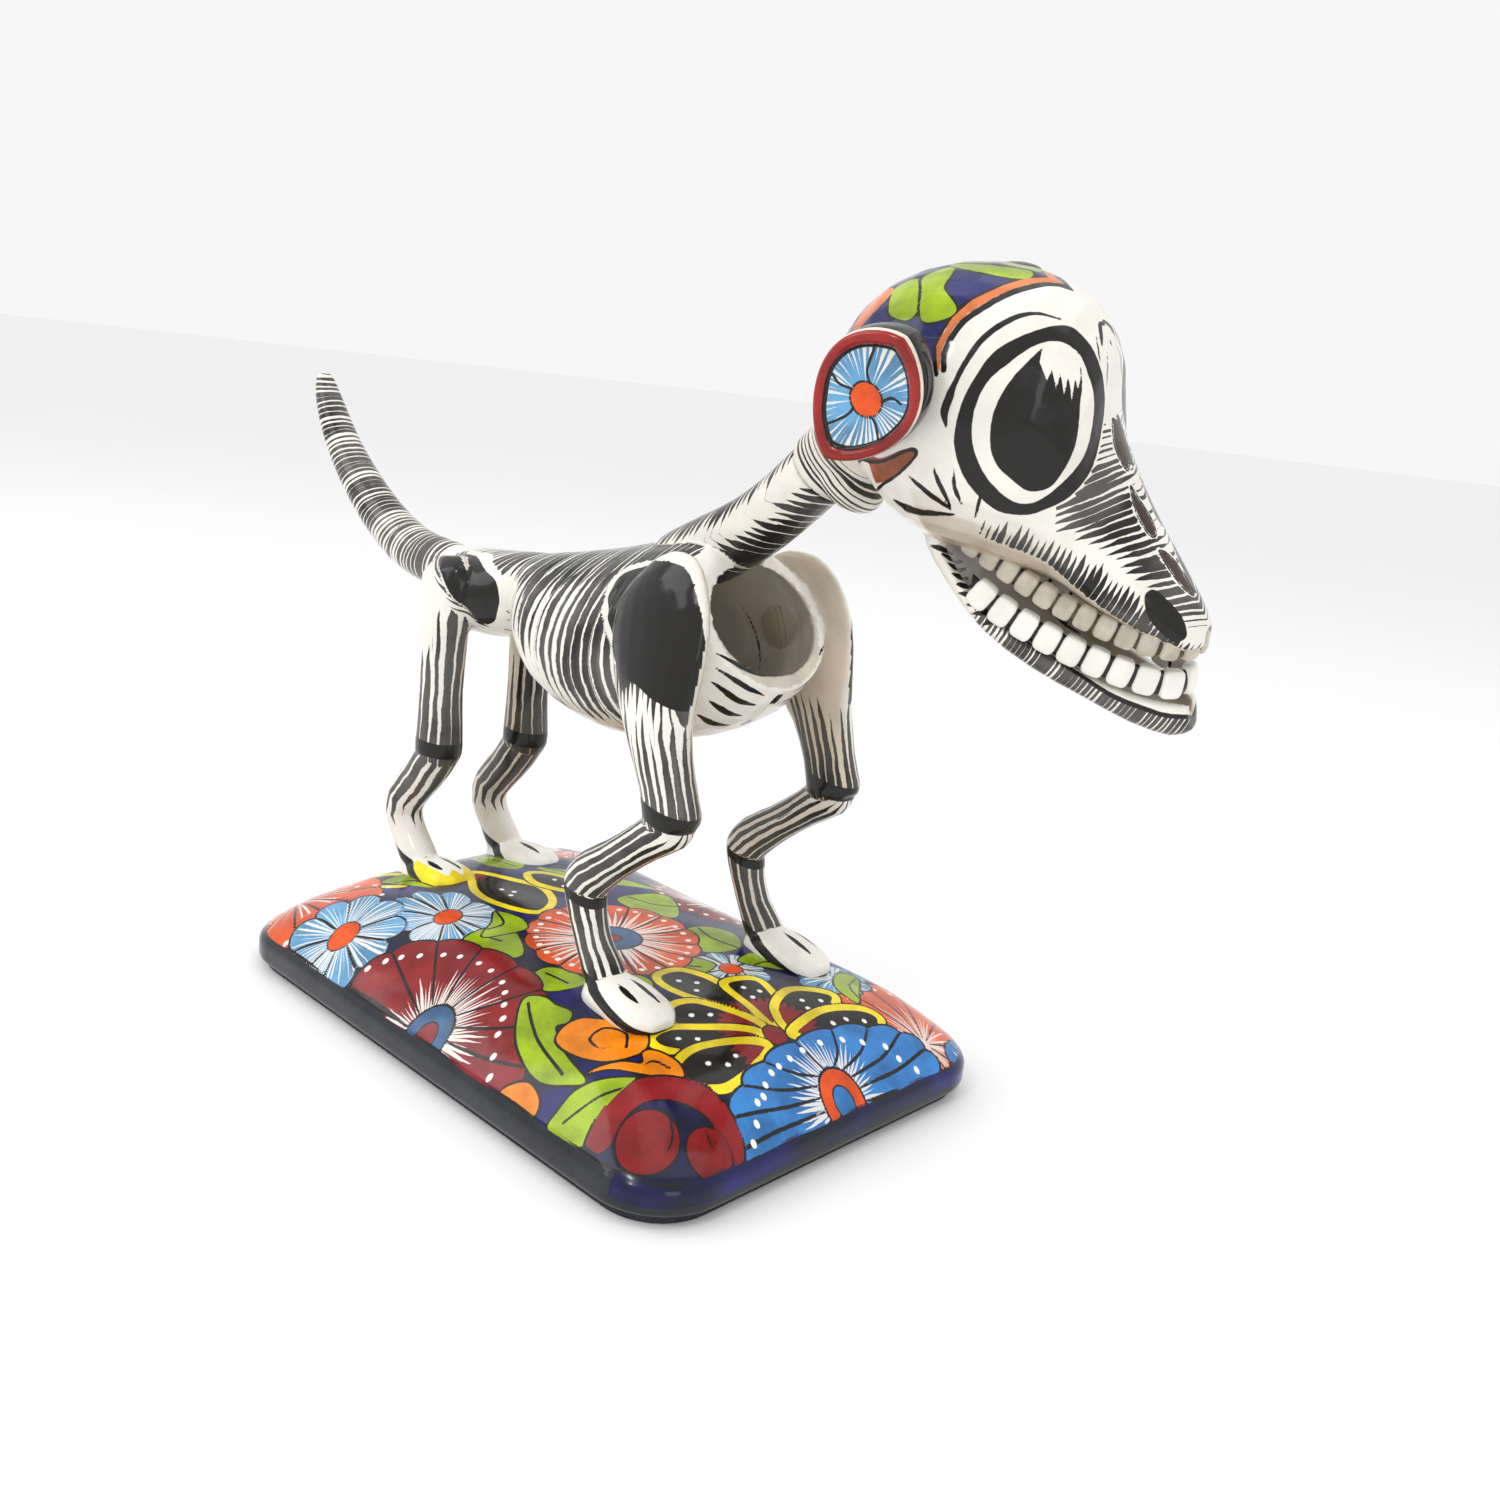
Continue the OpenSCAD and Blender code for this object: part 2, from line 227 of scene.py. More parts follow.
class Paint:
    """Layers of glaze over the points P of a plane. Each layer is a signed distance, positive inside."""

    def __init__(self, P, layers):
        self.P = P
        self.f = {k: np.full(len(P), -FAR) for k in layers}
        self.white = np.full(len(P), BARE)
        self.turns = np.zeros(len(P))

    def cut(self, sd):
        for k in self.f:
            self.f[k] = np.minimum(self.f[k], -sd)
        self.white = np.where(sd > 0, BARE, self.white)

    def add(self, layer, sd):
        self.f[layer] = np.maximum(self.f[layer], sd)

    def lay(self, layer, sd, edge=0.95):
        """A filled shape with a black outline that covers what lies under it."""
        self.cut(sd + edge)
        self.add("ink", sd + edge)
        self.add(layer, sd)

    def rays(self, sd, c, n, r0, r1, full=0.9, shift=0.0):
        """White flames that start at radius r0 round c and thin out to nothing at r1."""
        d = self.P - np.asarray(c, float)
        r = np.linalg.norm(d, axis=1)
        a = np.arctan2(d[:, 1], d[:, 0])
        m = (sd > 0) & (r < r1 + 4)
        self.white[m] = (full * (r1 - r) / (r1 - r0) + 0.02)[m]
        self.turns[m] = (a * n / (2 * math.pi) + shift)[m]


# ---------------------------------------------------------------- glaze shaders

class Tree:
    """Builds the node tree of one material."""

    def __init__(self, name):
        self.mat = bpy.data.materials.new(name)
        self.mat.use_nodes = True
        self.nt = self.mat.node_tree
        self.nt.nodes.clear()
        out = self.nt.nodes.new("ShaderNodeOutputMaterial")
        self.bsdf = self.nt.nodes.new("ShaderNodeBsdfPrincipled")
        self.nt.links.new(self.bsdf.outputs[0], out.inputs[0])
        self.coords = self.nt.nodes.new("ShaderNodeTexCoord").outputs["Object"]

    def feed(self, socket, v):
        if isinstance(v, (int, float)):
            socket.default_value = v
        elif isinstance(v, tuple):
            socket.default_value = (*v, 1.0) if len(v) == 3 else v
        else:
            self.nt.links.new(v, socket)

    def math(self, op, a, b=0.0, c=0.0, clamp=False):
        n = self.nt.nodes.new("ShaderNodeMath")
        n.operation = op
        n.use_clamp = clamp
        for s, v in zip(n.inputs, (a, b, c)):
            self.feed(s, v)
        return n.outputs[0]

    def attr(self, name):
        n = self.nt.nodes.new("ShaderNodeAttribute")
        n.attribute_name = name
        return n

    def xyz(self, name):
        n = self.nt.nodes.new("ShaderNodeSeparateXYZ")
        self.nt.links.new(self.attr(name).outputs["Vector"], n.inputs[0])
        return n.outputs

    def noise(self, scale, detail=2.0, rough=0.5):
        n = self.nt.nodes.new("ShaderNodeTexNoise")
        n.inputs["Scale"].default_value = scale
        n.inputs["Detail"].default_value = detail
        n.inputs["Roughness"].default_value = rough
        self.nt.links.new(self.coords, n.inputs["Vector"])
        return n.outputs[0]

    def random(self, w):
        n = self.nt.nodes.new("ShaderNodeTexWhiteNoise")
        n.noise_dimensions = "1D"
        self.nt.links.new(w, n.inputs["W"])
        return n.outputs[0]

    def between(self, v, lo, hi, out_lo=0.0, out_hi=1.0):
        n = self.nt.nodes.new("ShaderNodeMapRange")
        n.interpolation_type = "SMOOTHSTEP"
        self.feed(n.inputs[0], v)
        for s, x in zip(n.inputs[1:5], (lo, hi, out_lo, out_hi)):
            s.default_value = x
        return n.outputs[0]

    def mix(self, fac, a, b):
        n = self.nt.nodes.new("ShaderNodeMix")
        n.data_type = "RGBA"
        self.feed(n.inputs[0], fac)
        self.feed(n.inputs[6], a)
        self.feed(n.inputs[7], b)
        return n.outputs[2]

    def tinted(self, fac, colour, low=0.8, high=1.12):
        """A glaze colour that pools darker in places."""
        return self.mix(fac, tuple(c * low for c in colour), tuple(min(1.0, c * high) for c in colour))

    def strokes(self, phase, ink, seed, wander=0.3, vary=0.5, scale=90.0):
        """Mask of brush strokes: one for each whole number of phase, as wide as ink says, 0 to 1."""
        wob = self.math("SUBTRACT", self.noise(scale, 3.0), 0.5)
        p = self.math("ADD", phase, self.math("MULTIPLY", wob, wander))
        which = self.math("FLOOR", p)
        place = self.math("SUBTRACT", self.math("SUBTRACT", p, which), 0.5)
        r = self.random(self.math("ADD", which, seed))
        loose = self.between(ink, 0.8, 1.15, 1.0, 0.0)
        change = self.math("MULTIPLY", self.math("MULTIPLY", self.math("SUBTRACT", r, 0.5), vary), loose)
        hair = self.math("MULTIPLY", self.math("SUBTRACT", self.noise(scale * 9, 2.0), 0.5), 0.22)
        width = self.math("ADD", self.math("ADD", ink, change), hair)
        shift = self.math("SUBTRACT", self.random(self.math("ADD", which, seed + 31.7)), 0.5)
        shift = self.math("MULTIPLY", shift, 0.2)
        side = self.math("ABSOLUTE", self.math("ADD", place, shift))
        return self.between(self.math("SUBTRACT", self.math("MULTIPLY", width, 0.5), side), -0.035, 0.035)

    def glaze(self, colour, rough=0.16, bump=0.12):
        b = self.bsdf
        self.feed(b.inputs["Base Color"], colour)
        spots = self.between(self.noise(160.0, 3.0), 0.35, 0.75, rough * 0.75, rough * 1.7)
        self.feed(b.inputs["Roughness"], spots)
        b.inputs["IOR"].default_value = 1.5
        b.inputs["Coat Weight"].default_value = 0.14
        b.inputs["Specular IOR Level"].default_value = 0.24
        b.inputs["Coat Roughness"].default_value = 0.06
        n = self.nt.nodes.new("ShaderNodeBump")
        n.inputs["Strength"].default_value = bump
        n.inputs["Distance"].default_value = 0.0012
        fine = self.math("MULTIPLY", self.noise(420.0, 2.0), 0.18)
        self.feed(n.inputs["Height"], self.math("ADD", self.noise(70.0, 2.0), fine))
        self.nt.links.new(n.outputs[0], b.inputs["Normal"])
        return self.mat


WHITE = (0.82, 0.795, 0.735)
BEIGE = (0.43, 0.34, 0.235)
BLACK = (0.012, 0.011, 0.010)
COBALT = (0.010, 0.012, 0.115)
DOT_WHITE = (0.88, 0.86, 0.80)
COLOURS = {
    "ink": BLACK, "cobalt": COBALT, "coal": (0.022, 0.024, 0.030), "steel": (0.035, 0.105, 0.22),
    "sky": (0.035, 0.20, 0.53), "pale": (0.12, 0.33, 0.56), "cream": (0.80, 0.74, 0.60),
    "yellow": (0.86, 0.66, 0.012), "amber": (0.86, 0.235, 0.005), "orange": (0.72, 0.095, 0.018),
    "tan": (0.64, 0.17, 0.045), "core": (0.75, 0.085, 0.008), "red": (0.31, 0.018, 0.014),
    # The dark brown below is black glaze drawn lighter: a painted reflection.
    "wine": (0.235, 0.010, 0.012), "rust": (0.30, 0.075, 0.03), "sheen_on_black": (0.045, 0.024, 0.016),
    "green": (0.29, 0.42, 0.006)}


def edge(tree, name):
    """Crisp mask of a layer, a little uneven as a brushed edge is."""
    rag = tree.math("MULTIPLY", tree.math("SUBTRACT", tree.noise(420.0, 2.0), 0.5), 0.35)
    return tree.between(tree.math("ADD", tree.attr(name).outputs["Fac"], rag), -0.12, 0.12)


def painted(name, base, layers, hatched=False, rays=False, dots=False):
    """Glaze with flat layers, then white flames, then black strokes, then lines and dots."""
    t = Tree(name)
    pool = t.between(t.noise(55.0, 4.0, 0.6), 0.3, 0.7)
    colour = base(t, pool)
    for layer in layers:
        colour = t.mix(edge(t, layer), colour, t.tinted(pool, COLOURS[layer], 0.66, 1.2))
    if rays:
        v = t.xyz("rays")
        m = t.strokes(v[0], v[1], 3.3, wander=0.5, vary=0.7, scale=140.0)
        colour = t.mix(t.math("MULTIPLY", m, 0.88), colour, WHITE)
    if hatched:
        a, b, c = t.xyz("st_a"), t.xyz("st_b"), t.xyz("st_c")
        turn = t.math("DIVIDE", t.math("ARCTAN2", b[1], b[0]), 2 * math.pi)
        phase = t.math("ADD", a[0], t.math("MULTIPLY", turn, b[2]))
        m = t.strokes(phase, a[1], 7.1, wander=0.5, vary=0.75)
        m = t.math("MAXIMUM", m, t.strokes(c[0], c[1], 91.3, wander=0.4, vary=0.8))
        thin = t.between(t.noise(30.0, 3.0), 0.35, 0.7)
        colour = t.mix(t.math("MULTIPLY", m, t.between(thin, 0.0, 1.0, 0.90, 1.0)), colour, BLACK)
    colour = t.mix(edge(t, "line"), colour, BLACK)
    if dots:
        colour = t.mix(edge(t, "dots"), colour, DOT_WHITE)
    return t.glaze(colour)


def use(obj, mat):
    obj.data.materials.clear()
    obj.data.materials.append(mat)


def carried(node, mat):
    obj = nodes[node]
    use(obj, mat)
    return obj


def ramp(v, xs, ys):
    return np.interp(v, xs, ys)


def nearest_node(co, names, move=None):
    """Index into names of the CAD node whose skin is nearest to each vertex."""
    verts, polys, owner, n = [], [], [], 0
    for i, name in enumerate(names):
        c, f = arrays(nodes[name])
        verts += (c if move is None else move(c)).tolist()
        polys += [tuple(j + n for j in p) for p in f]
        owner += [i] * len(f)
        n += len(c)
    tree = BVHTree.FromPolygons(verts, polys)
    return np.array([owner[tree.find_nearest(p)[2]] for p in co.tolist()])


def along(P, pts):
    """How far along an axis line each point is, and its offset to the outside and to the front."""
    pts = np.asarray(pts, float)
    best = np.full(len(P), 1e9)
    s, ca, cb = np.zeros(len(P)), np.zeros(len(P)), np.zeros(len(P))
    run = 0.0
    for a, b in zip(pts[:-1], pts[1:]):
        d = b - a
        length = np.linalg.norm(d)
        t = np.clip(((P - a) @ d) / length ** 2, 0, 1)
        off = P - a - t[:, None] * d
        r = np.linalg.norm(off, axis=1)
        m = r < best
        side = np.cross(d / length, (0, -1, 0))
        best[m], s[m] = r[m], (run + t * length)[m]
        ca[m], cb[m] = -off[m, 1], (off @ side)[m]
        run += length
    return s, ca, cb


# ---------------------------------------------------------------- the body

SKIN = ["tail", "pelvis", "rib_cage", "neck"]
for end in ("front", "hind"):
    for side in ("right", "left"):
        SKIN += [f"{end}_{side}_{part}" for part in (
            ("upper_leg", "forearm", "wrist", "paw") if end == "front" else ("thigh", "shank", "paw"))]

AXES = {
    "tail": [(-112, 0, 173), (-126, 0, 174.5), (-144, 0, 175.5), (-163, 0, 179.5), (-186, 0, 190),
             (-209, 0, 206), (-226, 0, 222), (-238, 0, 238.5), (-243.5, 0, 249), (-245, 0, 252.5)],
    "neck": [(24, 0, 201.5), (42, 0, 209.5), (59, 0, 219.3), (73.5, 0, 230.2), (88, 0, 243)],
    "upper_leg": [(48.5, -32.5, 202.5), (52, -35.5, 194), (56.5, -38.5, 180), (61.5, -41.5, 162),
                  (67.5, -44, 146), (73.5, -44, 131), (79, -44, 115.5)],
    "forearm": [(83.5, -44, 120.5), (78, -44, 117.2), (66, -44, 108), (52, -44, 97.3), (40, -44, 87.8),
                (34, -44, 81)],
    "wrist": [(34.5, -44, 86), (35, -44, 80), (38, -44, 69), (43.5, -44, 58), (50, -44, 49.5),
              (52.5, -44, 45.5)],
    "thigh": [(-98, -23, 178), (-95, -24, 165), (-94.5, -24, 148), (-94.5, -24, 125), (-94, -24, 106),
              (-94.5, -24, 93)],
    "shank": [(-91, -24, 103), (-94, -24, 97), (-104, -24, 84), (-116, -24, 71), (-118.5, -24, 61),
              (-112, -24, 52), (-102, -24, 39)]}

SCAPULA = [(19, 189), (19, 196), (30, 201), (42, 205), (59, 207), (68, 204), (76, 194), (80, 184),
           (82, 173), (82, 160), (70, 161), (60, 164), (48, 166), (38, 171), (27, 179)]
RIB_PITCH = 6.0
HIP = [(-101, 183), (-104, 184), (-92, 185), (-84, 184), (-75, 181), (-68, 178), (-65, 171), (-67, 164),
       (-70, 160), (-76, 158), (-79, 163), (-84, 169), (-90, 176)]


def torso_lines(P):
    """Phase of the strokes round the trunk: they lean back, then curve forward under the belly."""
    x = P[:, 0]
    top = ramp(x, (-121, -90, -54, -50, -30, -6, 18, 38, 57), (177, 188, 192, 193, 197, 202.5, 209, 214, 210))
    low = ramp(x, (-120, -92, -57, -48, -28, -3, 23, 50, 85),
               (166, 150, 161, 149, 136.5, 130.5, 131, 138.5, 165))
    wide = ramp(x, (-121, -90, -54, -50, -30, -6, 18, 57), (7, 25.5, 12, 24, 31.5, 36.5, 38.5, 31.5))
    mid = (top + low) / 2
    theta = np.arctan2(-P[:, 1] / wide, (P[:, 2] - mid) / ((top - low) / 2))
    return x + 10.5 * np.sin(1.22 * theta)


def paint_body(co, no, label):
    n = len(co)
    P = np.column_stack([co[:, 0], -np.abs(co[:, 1]), co[:, 2]])
    N = np.column_stack([no[:, 0], np.where(co[:, 1] > 0, -no[:, 1], no[:, 1]), no[:, 2]])
    x, y, z = P.T
    XZ, YZ, XY = P[:, (0, 2)], P[:, (1, 2)], P[:, :2]
    kinds = [s.split("_", 2)[2] if s.startswith(("front", "hind")) else s for s in SKIN]
    kind = np.array(kinds, dtype=object)[label]
    front = x > -20
    lin, ink, lin2, ink2 = np.zeros(n), np.full(n, BARE), np.zeros(n), np.full(n, BARE)
    ca, cb, turns = np.ones(n), np.zeros(n), np.zeros(n)
    line = np.full(n, -FAR)
    yellow = np.full(n, -FAR)
    # Beige share of the glaze: painted shade where faces turn down or inward, and bare clay inside the rib
    # cage.
    clay_and_shade = np.full(n, 0.08)
    torso = (kind == "rib_cage") | (kind == "pelvis")

    # back and ribs
    u = torso_lines(P)
    mid = ramp(x, (-60, -30, 0, 57), (176, 167, 167, 176))
    inside = (kind == "rib_cage") & ((N[:, 1] * y + N[:, 2] * (z - mid)) < 0) & (x > -40)
    m = torso & ~inside
    foot = ramp(x, (-103, -72, -39, 0, 24, 40), (185.5, 182, 179, 188, 192, 199))
    lin[m], ink[m] = (u / 3.9)[m], ramp(z - foot, (-3, 2, 8), (-0.15, 0.55, 0.86))[m]
    low = ramp(x, (-40, -32, -14, -5, 13, 30), (159, 157, 149, 141, 139, 142))
    rib = np.minimum(ramp(z - low, (-3, 3, 12), (-0.2, 0.42, 0.68)),
                     ramp(foot + 7 - z, (-4, 3), (-0.2, 0.78)))
    rib = np.minimum(rib, ramp(x, (-47, -41, 44, 52), (-0.2, 0.78, 0.78, -0.2)))
    lin2[m], ink2[m] = (u / RIB_PITCH)[m], rib[m]
    # Painted shade: the trunk turns beige towards the belly. The inside of the rib cage is bare beige clay.
    clay_and_shade[m] = np.clip((146 - z) / 10, 0, 1)[m] * 0.75 + 0.06
    clay_and_shade[inside] = 0.55

    # tail and neck
    m = kind == "tail"
    s, _, up = along(P[m], AXES["tail"])
    rad = np.sqrt(P[m][:, 1] ** 2 + up ** 2) + 1e-6
    lin[m] = s / 3.0 + 0.6 * up / rad
    ends = np.minimum(ramp(s, (7, 13), (-0.5, 0.7)), ramp(s, (158, 166), (0.8, -0.3)))
    ink[m] = np.minimum(0.68 + 0.27 * up / rad, ends)
    m = kind == "neck"
    s, _, up = along(P[m], AXES["neck"])
    lin[m] = (s - 0.85 * np.abs(up)) / 3.6
    ink[m] = ramp(np.abs(up), (2.5, 6, 10), (-0.3, 0.5, 0.98))
    # Painted shade: the neck is drawn a little beige.
    clay_and_shade[m] = 0.2

    # legs
    for part, count in (("upper_leg", 19), ("forearm", 14), ("wrist", 11), ("thigh", 13), ("shank", 11)):
        m = kind == part
        s, ca[m], cb[m] = along(P[m], AXES[part])
        turns[m] = count
        zz = z[m]
        if part == "upper_leg":
            v = ramp(zz, (118, 122, 132, 142, 151, 158), (0.8, 0.74, 0.62, 0.46, 0.2, -0.3))
        elif part == "forearm":
            v = ramp(s, (2, 9, 16, 58, 70), (0.15, 0.55, 0.7, 0.68, 0.4))
        elif part == "wrist":
            v = ramp(zz, (48, 54, 66, 78), (0.68, 0.62, 0.55, 0.68))
        elif part == "thigh":
            v = ramp(zz, (97, 106, 122, 138, 148), (0.98, 0.84, 0.66, 0.42, -0.3))
            rear = ramp(zz, (138, 148, 160, 169), (0.6, 0.62, 0.45, -0.3))
            v = np.where(-cb[m] > 4, np.maximum(v, rear), v)
        else:
            v = ramp(zz, (55, 62, 74, 95), (-0.4, 0.2, 0.64, 0.68))
        ink[m] = v
        # Painted shade: the legs turn beige on the faces that turn inward.
        clay_and_shade[m] = ramp(N[m, 1], (-0.2, 0.6), (0.05, 0.8 if part in ("upper_leg", "thigh") else 0.45))

    # shoulder and hip patches, with the strokes that fray their edges
    patch = blob(XZ, SCAPULA)
    m = front & (N[:, 1] < 0) & (z > 145) & ~inside & (-y > ramp(x, (50, 60), (21.5, 33)))
    m &= (patch > -2.6) | (kind == "upper_leg")
    ink2[m] = BARE
    ink[m & (patch > -2.4)] = BARE
    ragged = ramp(z - ramp(x, (40, 50, 60, 72, 81), (166, 155, 164, 163, 150)), (-11, -3, 3, 7),
                  (-0.3, 0.36, 0.8, 1.35))
    ragged = np.minimum(ragged, ramp(x, (38, 44, 82, 86), (-0.3, 1.35, 1.35, -0.3)))
    ragged[(z > 168) & (patch < 0)] = BARE
    lin2[m], ink2[m] = ((x + 0.31 * (z - 165)) / 2.9)[m], ragged[m]
    line[m] = patch[m]
    clay_and_shade[m & (patch > -FAR)] = 0.03
    hip = blob(XZ, HIP)
    m = ~front & (N[:, 1] < 0.1) & (-y > 9) & (hip > -4) & (z > 150)
    ink[m & (hip > -3)] = BARE
    rear = (x + 101) * -0.72 + (z - 183) * -0.69 > -2.5
    ink2[m & (hip > -3.2)] = BARE
    k = m & rear
    lin2[k], ink2[k] = ((z + 0.55 * x) / 2.3)[k], ramp(hip, (-3.8, -1, 1.2), (-0.3, 0.5, 1.35))[k]
    line[m] = np.maximum(line, np.where(rear, hip - 1.2, hip))[m]
    clay_and_shade[m] = 0.03

    # bands and toes
    def band(m, centre, half, lean):
        line[m] = np.maximum(line[m], half - np.abs(z[m] - centre[1] + lean * (x[m] - centre[0])))

    leg = np.isin(kind, ("upper_leg", "forearm", "wrist"))
    band(leg & (x > 60), (76, 121.6), 3.3, 0.22)
    band(leg & (x < 60) & (z > 60), (35, 78.5), 2.0, 0.28)
    band(front & np.isin(kind, ("wrist", "paw")) & (z < 60), (51, 48.6), 2.0, 0.3)
    leg = np.isin(kind, ("thigh", "shank"))
    band(leg & (z > 80), (-94, 100.5), 3.4, 0.1)
    band(~front & np.isin(kind, ("shank", "paw")) & (z < 70), (-106, 45), 1.9, 0.3)
    for dx, dy in ((0, 0), (-153.5, 20)):
        m = (kind == "paw") & (front == (dx == 0))
        m[m] = N[m, 2] > -0.1
        Q = XY[m] - (dx, dy)
        tops = np.maximum(stroke(Q, [(62, -48.6), (68, -49.4), (75, -49.4)], 2.2, (0.05, 0.4)),
                          stroke(Q, [(62, -42.6), (69, -42.2), (79, -42)], 2.2, (0.05, 0.4)))
        line[m] = np.maximum(line[m], tops)
        clay_and_shade[m] = 0.0
    m = (kind == "paw") & ~front & (co[:, 1] < 0)
    yellow[m] = np.minimum(46.4 + 0.8 * np.sin(y * 0.9) - z, x + 97)[m]

    # strokes round the chest opening, and the seam line inside it
    m = torso & (x > 46) & (N[:, 0] > 0.1)
    ink[m], ink2[m] = BARE, BARE
    Q = YZ[m]
    breast = np.full(len(Q), -FAR)
    for pts, w in (([(-29, 178), (-16, 172), (-3, 169)], 2.0), ([(-28, 172.5), (-17, 166), (-7, 162)], 1.7),
                   ([(-27, 167), (-16, 160), (-6, 157.5)], 1.9), ([(-24, 159), (-15, 154), (-8, 152.5)], 1.9),
                   ([(-22, 152), (-14, 148), (-6, 147)], 1.8), ([(-2, 150), (0, 146)], 2.2),
                   ([(-1, 163), (-1, 157)], 1.8)):
        breast = np.maximum(breast, stroke(Q, pts, w, (0.3, 0.1)))
    line[m] = np.maximum(line[m], breast)
    m = inside & (co[:, 1] > 0)
    line[m] = stroke(XZ[m], [(30, 186), (38, 172), (45, 156)], 1.1, (0.4, 0.2))
    return {"line": line, "yellow": yellow, "clay_and_shade": np.clip(clay_and_shade, 0, 1),
            "st_a": np.column_stack([lin, ink, np.zeros(n)]), "st_b": np.column_stack([ca, cb, turns]),
            "st_c": np.column_stack([lin2, ink2, np.zeros(n)])}


def bone_base(t, pool):
    white = t.tinted(pool, WHITE, 0.93, 1.05)
    # The beige mixed into the white is painted shade on faces that turn down or inward, and the bare clay
    # inside the rib cage.
    beige_clay_and_shade = t.mix(pool, tuple(c * 0.85 for c in BEIGE), tuple(c * 1.15 for c in BEIGE))
    clay_and_shade = t.math("ADD", t.attr("clay_and_shade").outputs["Fac"],
                  t.math("MULTIPLY", t.math("SUBTRACT", t.noise(38.0, 3.0), 0.5), 0.25), clamp=True)
    return t.mix(clay_and_shade, white, beige_clay_and_shade)


bone = painted("bone_painted", bone_base, [], hatched=True)
toe = painted("bone_toes", bone_base, ["yellow"], hatched=True)

body = fused("figure_skin", SKIN, 1.0, 8)
co, no, *_ = mesh_data(body)
label = nearest_node(co, SKIN)
P = np.column_stack([co[:, 0], -np.abs(co[:, 1]), co[:, 2]])
u = torso_lines(P)
ribbed = (label == SKIN.index("rib_cage")) & (no[:, 1] * co[:, 1] + no[:, 2] * (co[:, 2] - 167) > 0)
swell = (np.cos(2 * math.pi * u / RIB_PITCH) * ramp(co[:, 2], (140, 150, 185, 196), (0, 1, 1, 0))
         * ramp(co[:, 0], (-46, -38, 20, 34), (0, 1, 1, 0)) * ribbed)
RIB_HEIGHT = 0.55
set_co(body, co + no * (RIB_HEIGHT * swell)[:, None])
co, no, *_ = mesh_data(body)
fields = paint_body(co, no, label)
for name, piece in split(body, label, [s + "_skin" for s in SKIN], fields).items():
    use(piece, toe if "paw" in name else bone)
    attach(piece, "figure")
    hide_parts(name[:-5])

# ---------------------------------------------------------------- the head

PIVOT = np.array([88.0, 0, 243])
NECK_LINE = (0.7547, 0, 0.6561)
REST_TURN = math.radians(22)
SPIN = np.array(Matrix.Rotation(REST_TURN, 3, Vector(NECK_LINE).normalized()))


def straight(c):
    """Turns the head's points from their rest place to where the head looks straight ahead."""
    return (c - PIVOT) @ SPIN + PIVOT


def turned(c):
    """Turns points of the straight head to their rest place."""
    return (c - PIVOT) @ SPIN.T + PIVOT


# The face is painted on a plane that leans back: u runs forward and v upward, from FACE_MIDDLE.
FACE_MIDDLE = (150, 0, 262)
AZ, EL = math.radians(32), math.radians(28)
U_AXIS = np.array([math.cos(AZ), math.sin(AZ), 0])
V_AXIS = np.array([-math.sin(EL) * math.sin(AZ), math.sin(EL) * math.cos(AZ), math.cos(EL)])
LOOK = np.cross(U_AXIS, V_AXIS)

BAND_LOW = [(-20, 10), (-19, 16), (-14, 23), (-8, 27), (0, 31), (9, 34), (16, 35), (24, 33), (30, 30)]
BAND_TOP = [(-22, 9), (-21.5, 18), (-16, 26), (-9.5, 31), (0, 35), (8, 37.6), (17, 38.6), (25, 36), (32, 32)]
CAP = BAND_TOP + [(44, 40), (34, 70), (-20, 80), (-70, 70), (-66, 30), (-50, 12), (-34, 3)]
LEAVES = [[(-32, 33), (-29, 42), (-25, 44), (-22, 43), (-22, 38), (-26, 30), (-29, 29)],
          [(-22, 38), (-20, 44), (-12, 46), (-14, 42), (-17, 37), (-15, 28), (-21, 26), (-24, 28)],
          [(-11, 48), (0, 44), (10, 40.5), (7, 37.5), (0, 39.5), (-8, 44)]]
RING_OUT = [(13, 20), (19, 19), (24, 14), (27, 8), (29, -1), (27, -12), (23, -21), (16, -28), (9, -31),
            (3, -32), (-5, -30), (-12, -24), (-16, -18), (-18, -10), (-16, -1), (-12, 6), (-6, 13), (2, 17)]
RING_IN = [(13, 15), (19, 12), (22, 6), (24, 0), (24, -6), (22, -14), (18, -20), (11, -26), (5, -29),
           (-1, -28), (-7, -23), (-11, -17), (-13, -10), (-12, -2), (-8, 5), (-1, 10), (6, 14)]
SOCKET = [(11, 15), (15, 14), (19, 11), (20, 4), (19, -3), (18, -12), (15, -19), (10, -25), (4, -26),
          (-1, -23), (-6, -18), (-8, -12), (-7, -4), (-3, 3), (3, 9)]
GLINT = [(9, 16), (15, 15), (19.4, 11), (19.4, 5), (18.4, 1), (17.6, 5), (16.2, -2), (15.4, 5),
         (13.8, -0.5), (13, 6), (11.4, 1), (10.4, 7), (8.6, 3.4), (7, 9)]
NOSTRIL = [(40, -58), (43, -56), (47, -59), (52, -64.5), (53.5, -70.5), (50, -72.5), (45, -69), (41, -64)]
LOZENGES = [[(33, -4), (36, -6), (39, -13), (38, -19), (36, -18), (33, -12)],
            [(38, -24), (41, -28), (45, -34), (46, -39), (43, -39), (39, -32)],
            [(46, -44), (51, -46), (56, -53), (58, -58), (54, -56), (50, -51)]]
JAW_LINE = [(-6, -49), (-1, -56), (4, -64), (14, -71), (23, -79), (33, -87), (43, -92), (51, -95), (62, -96)]


def best_of(*fields):
    return np.maximum.reduce(fields)


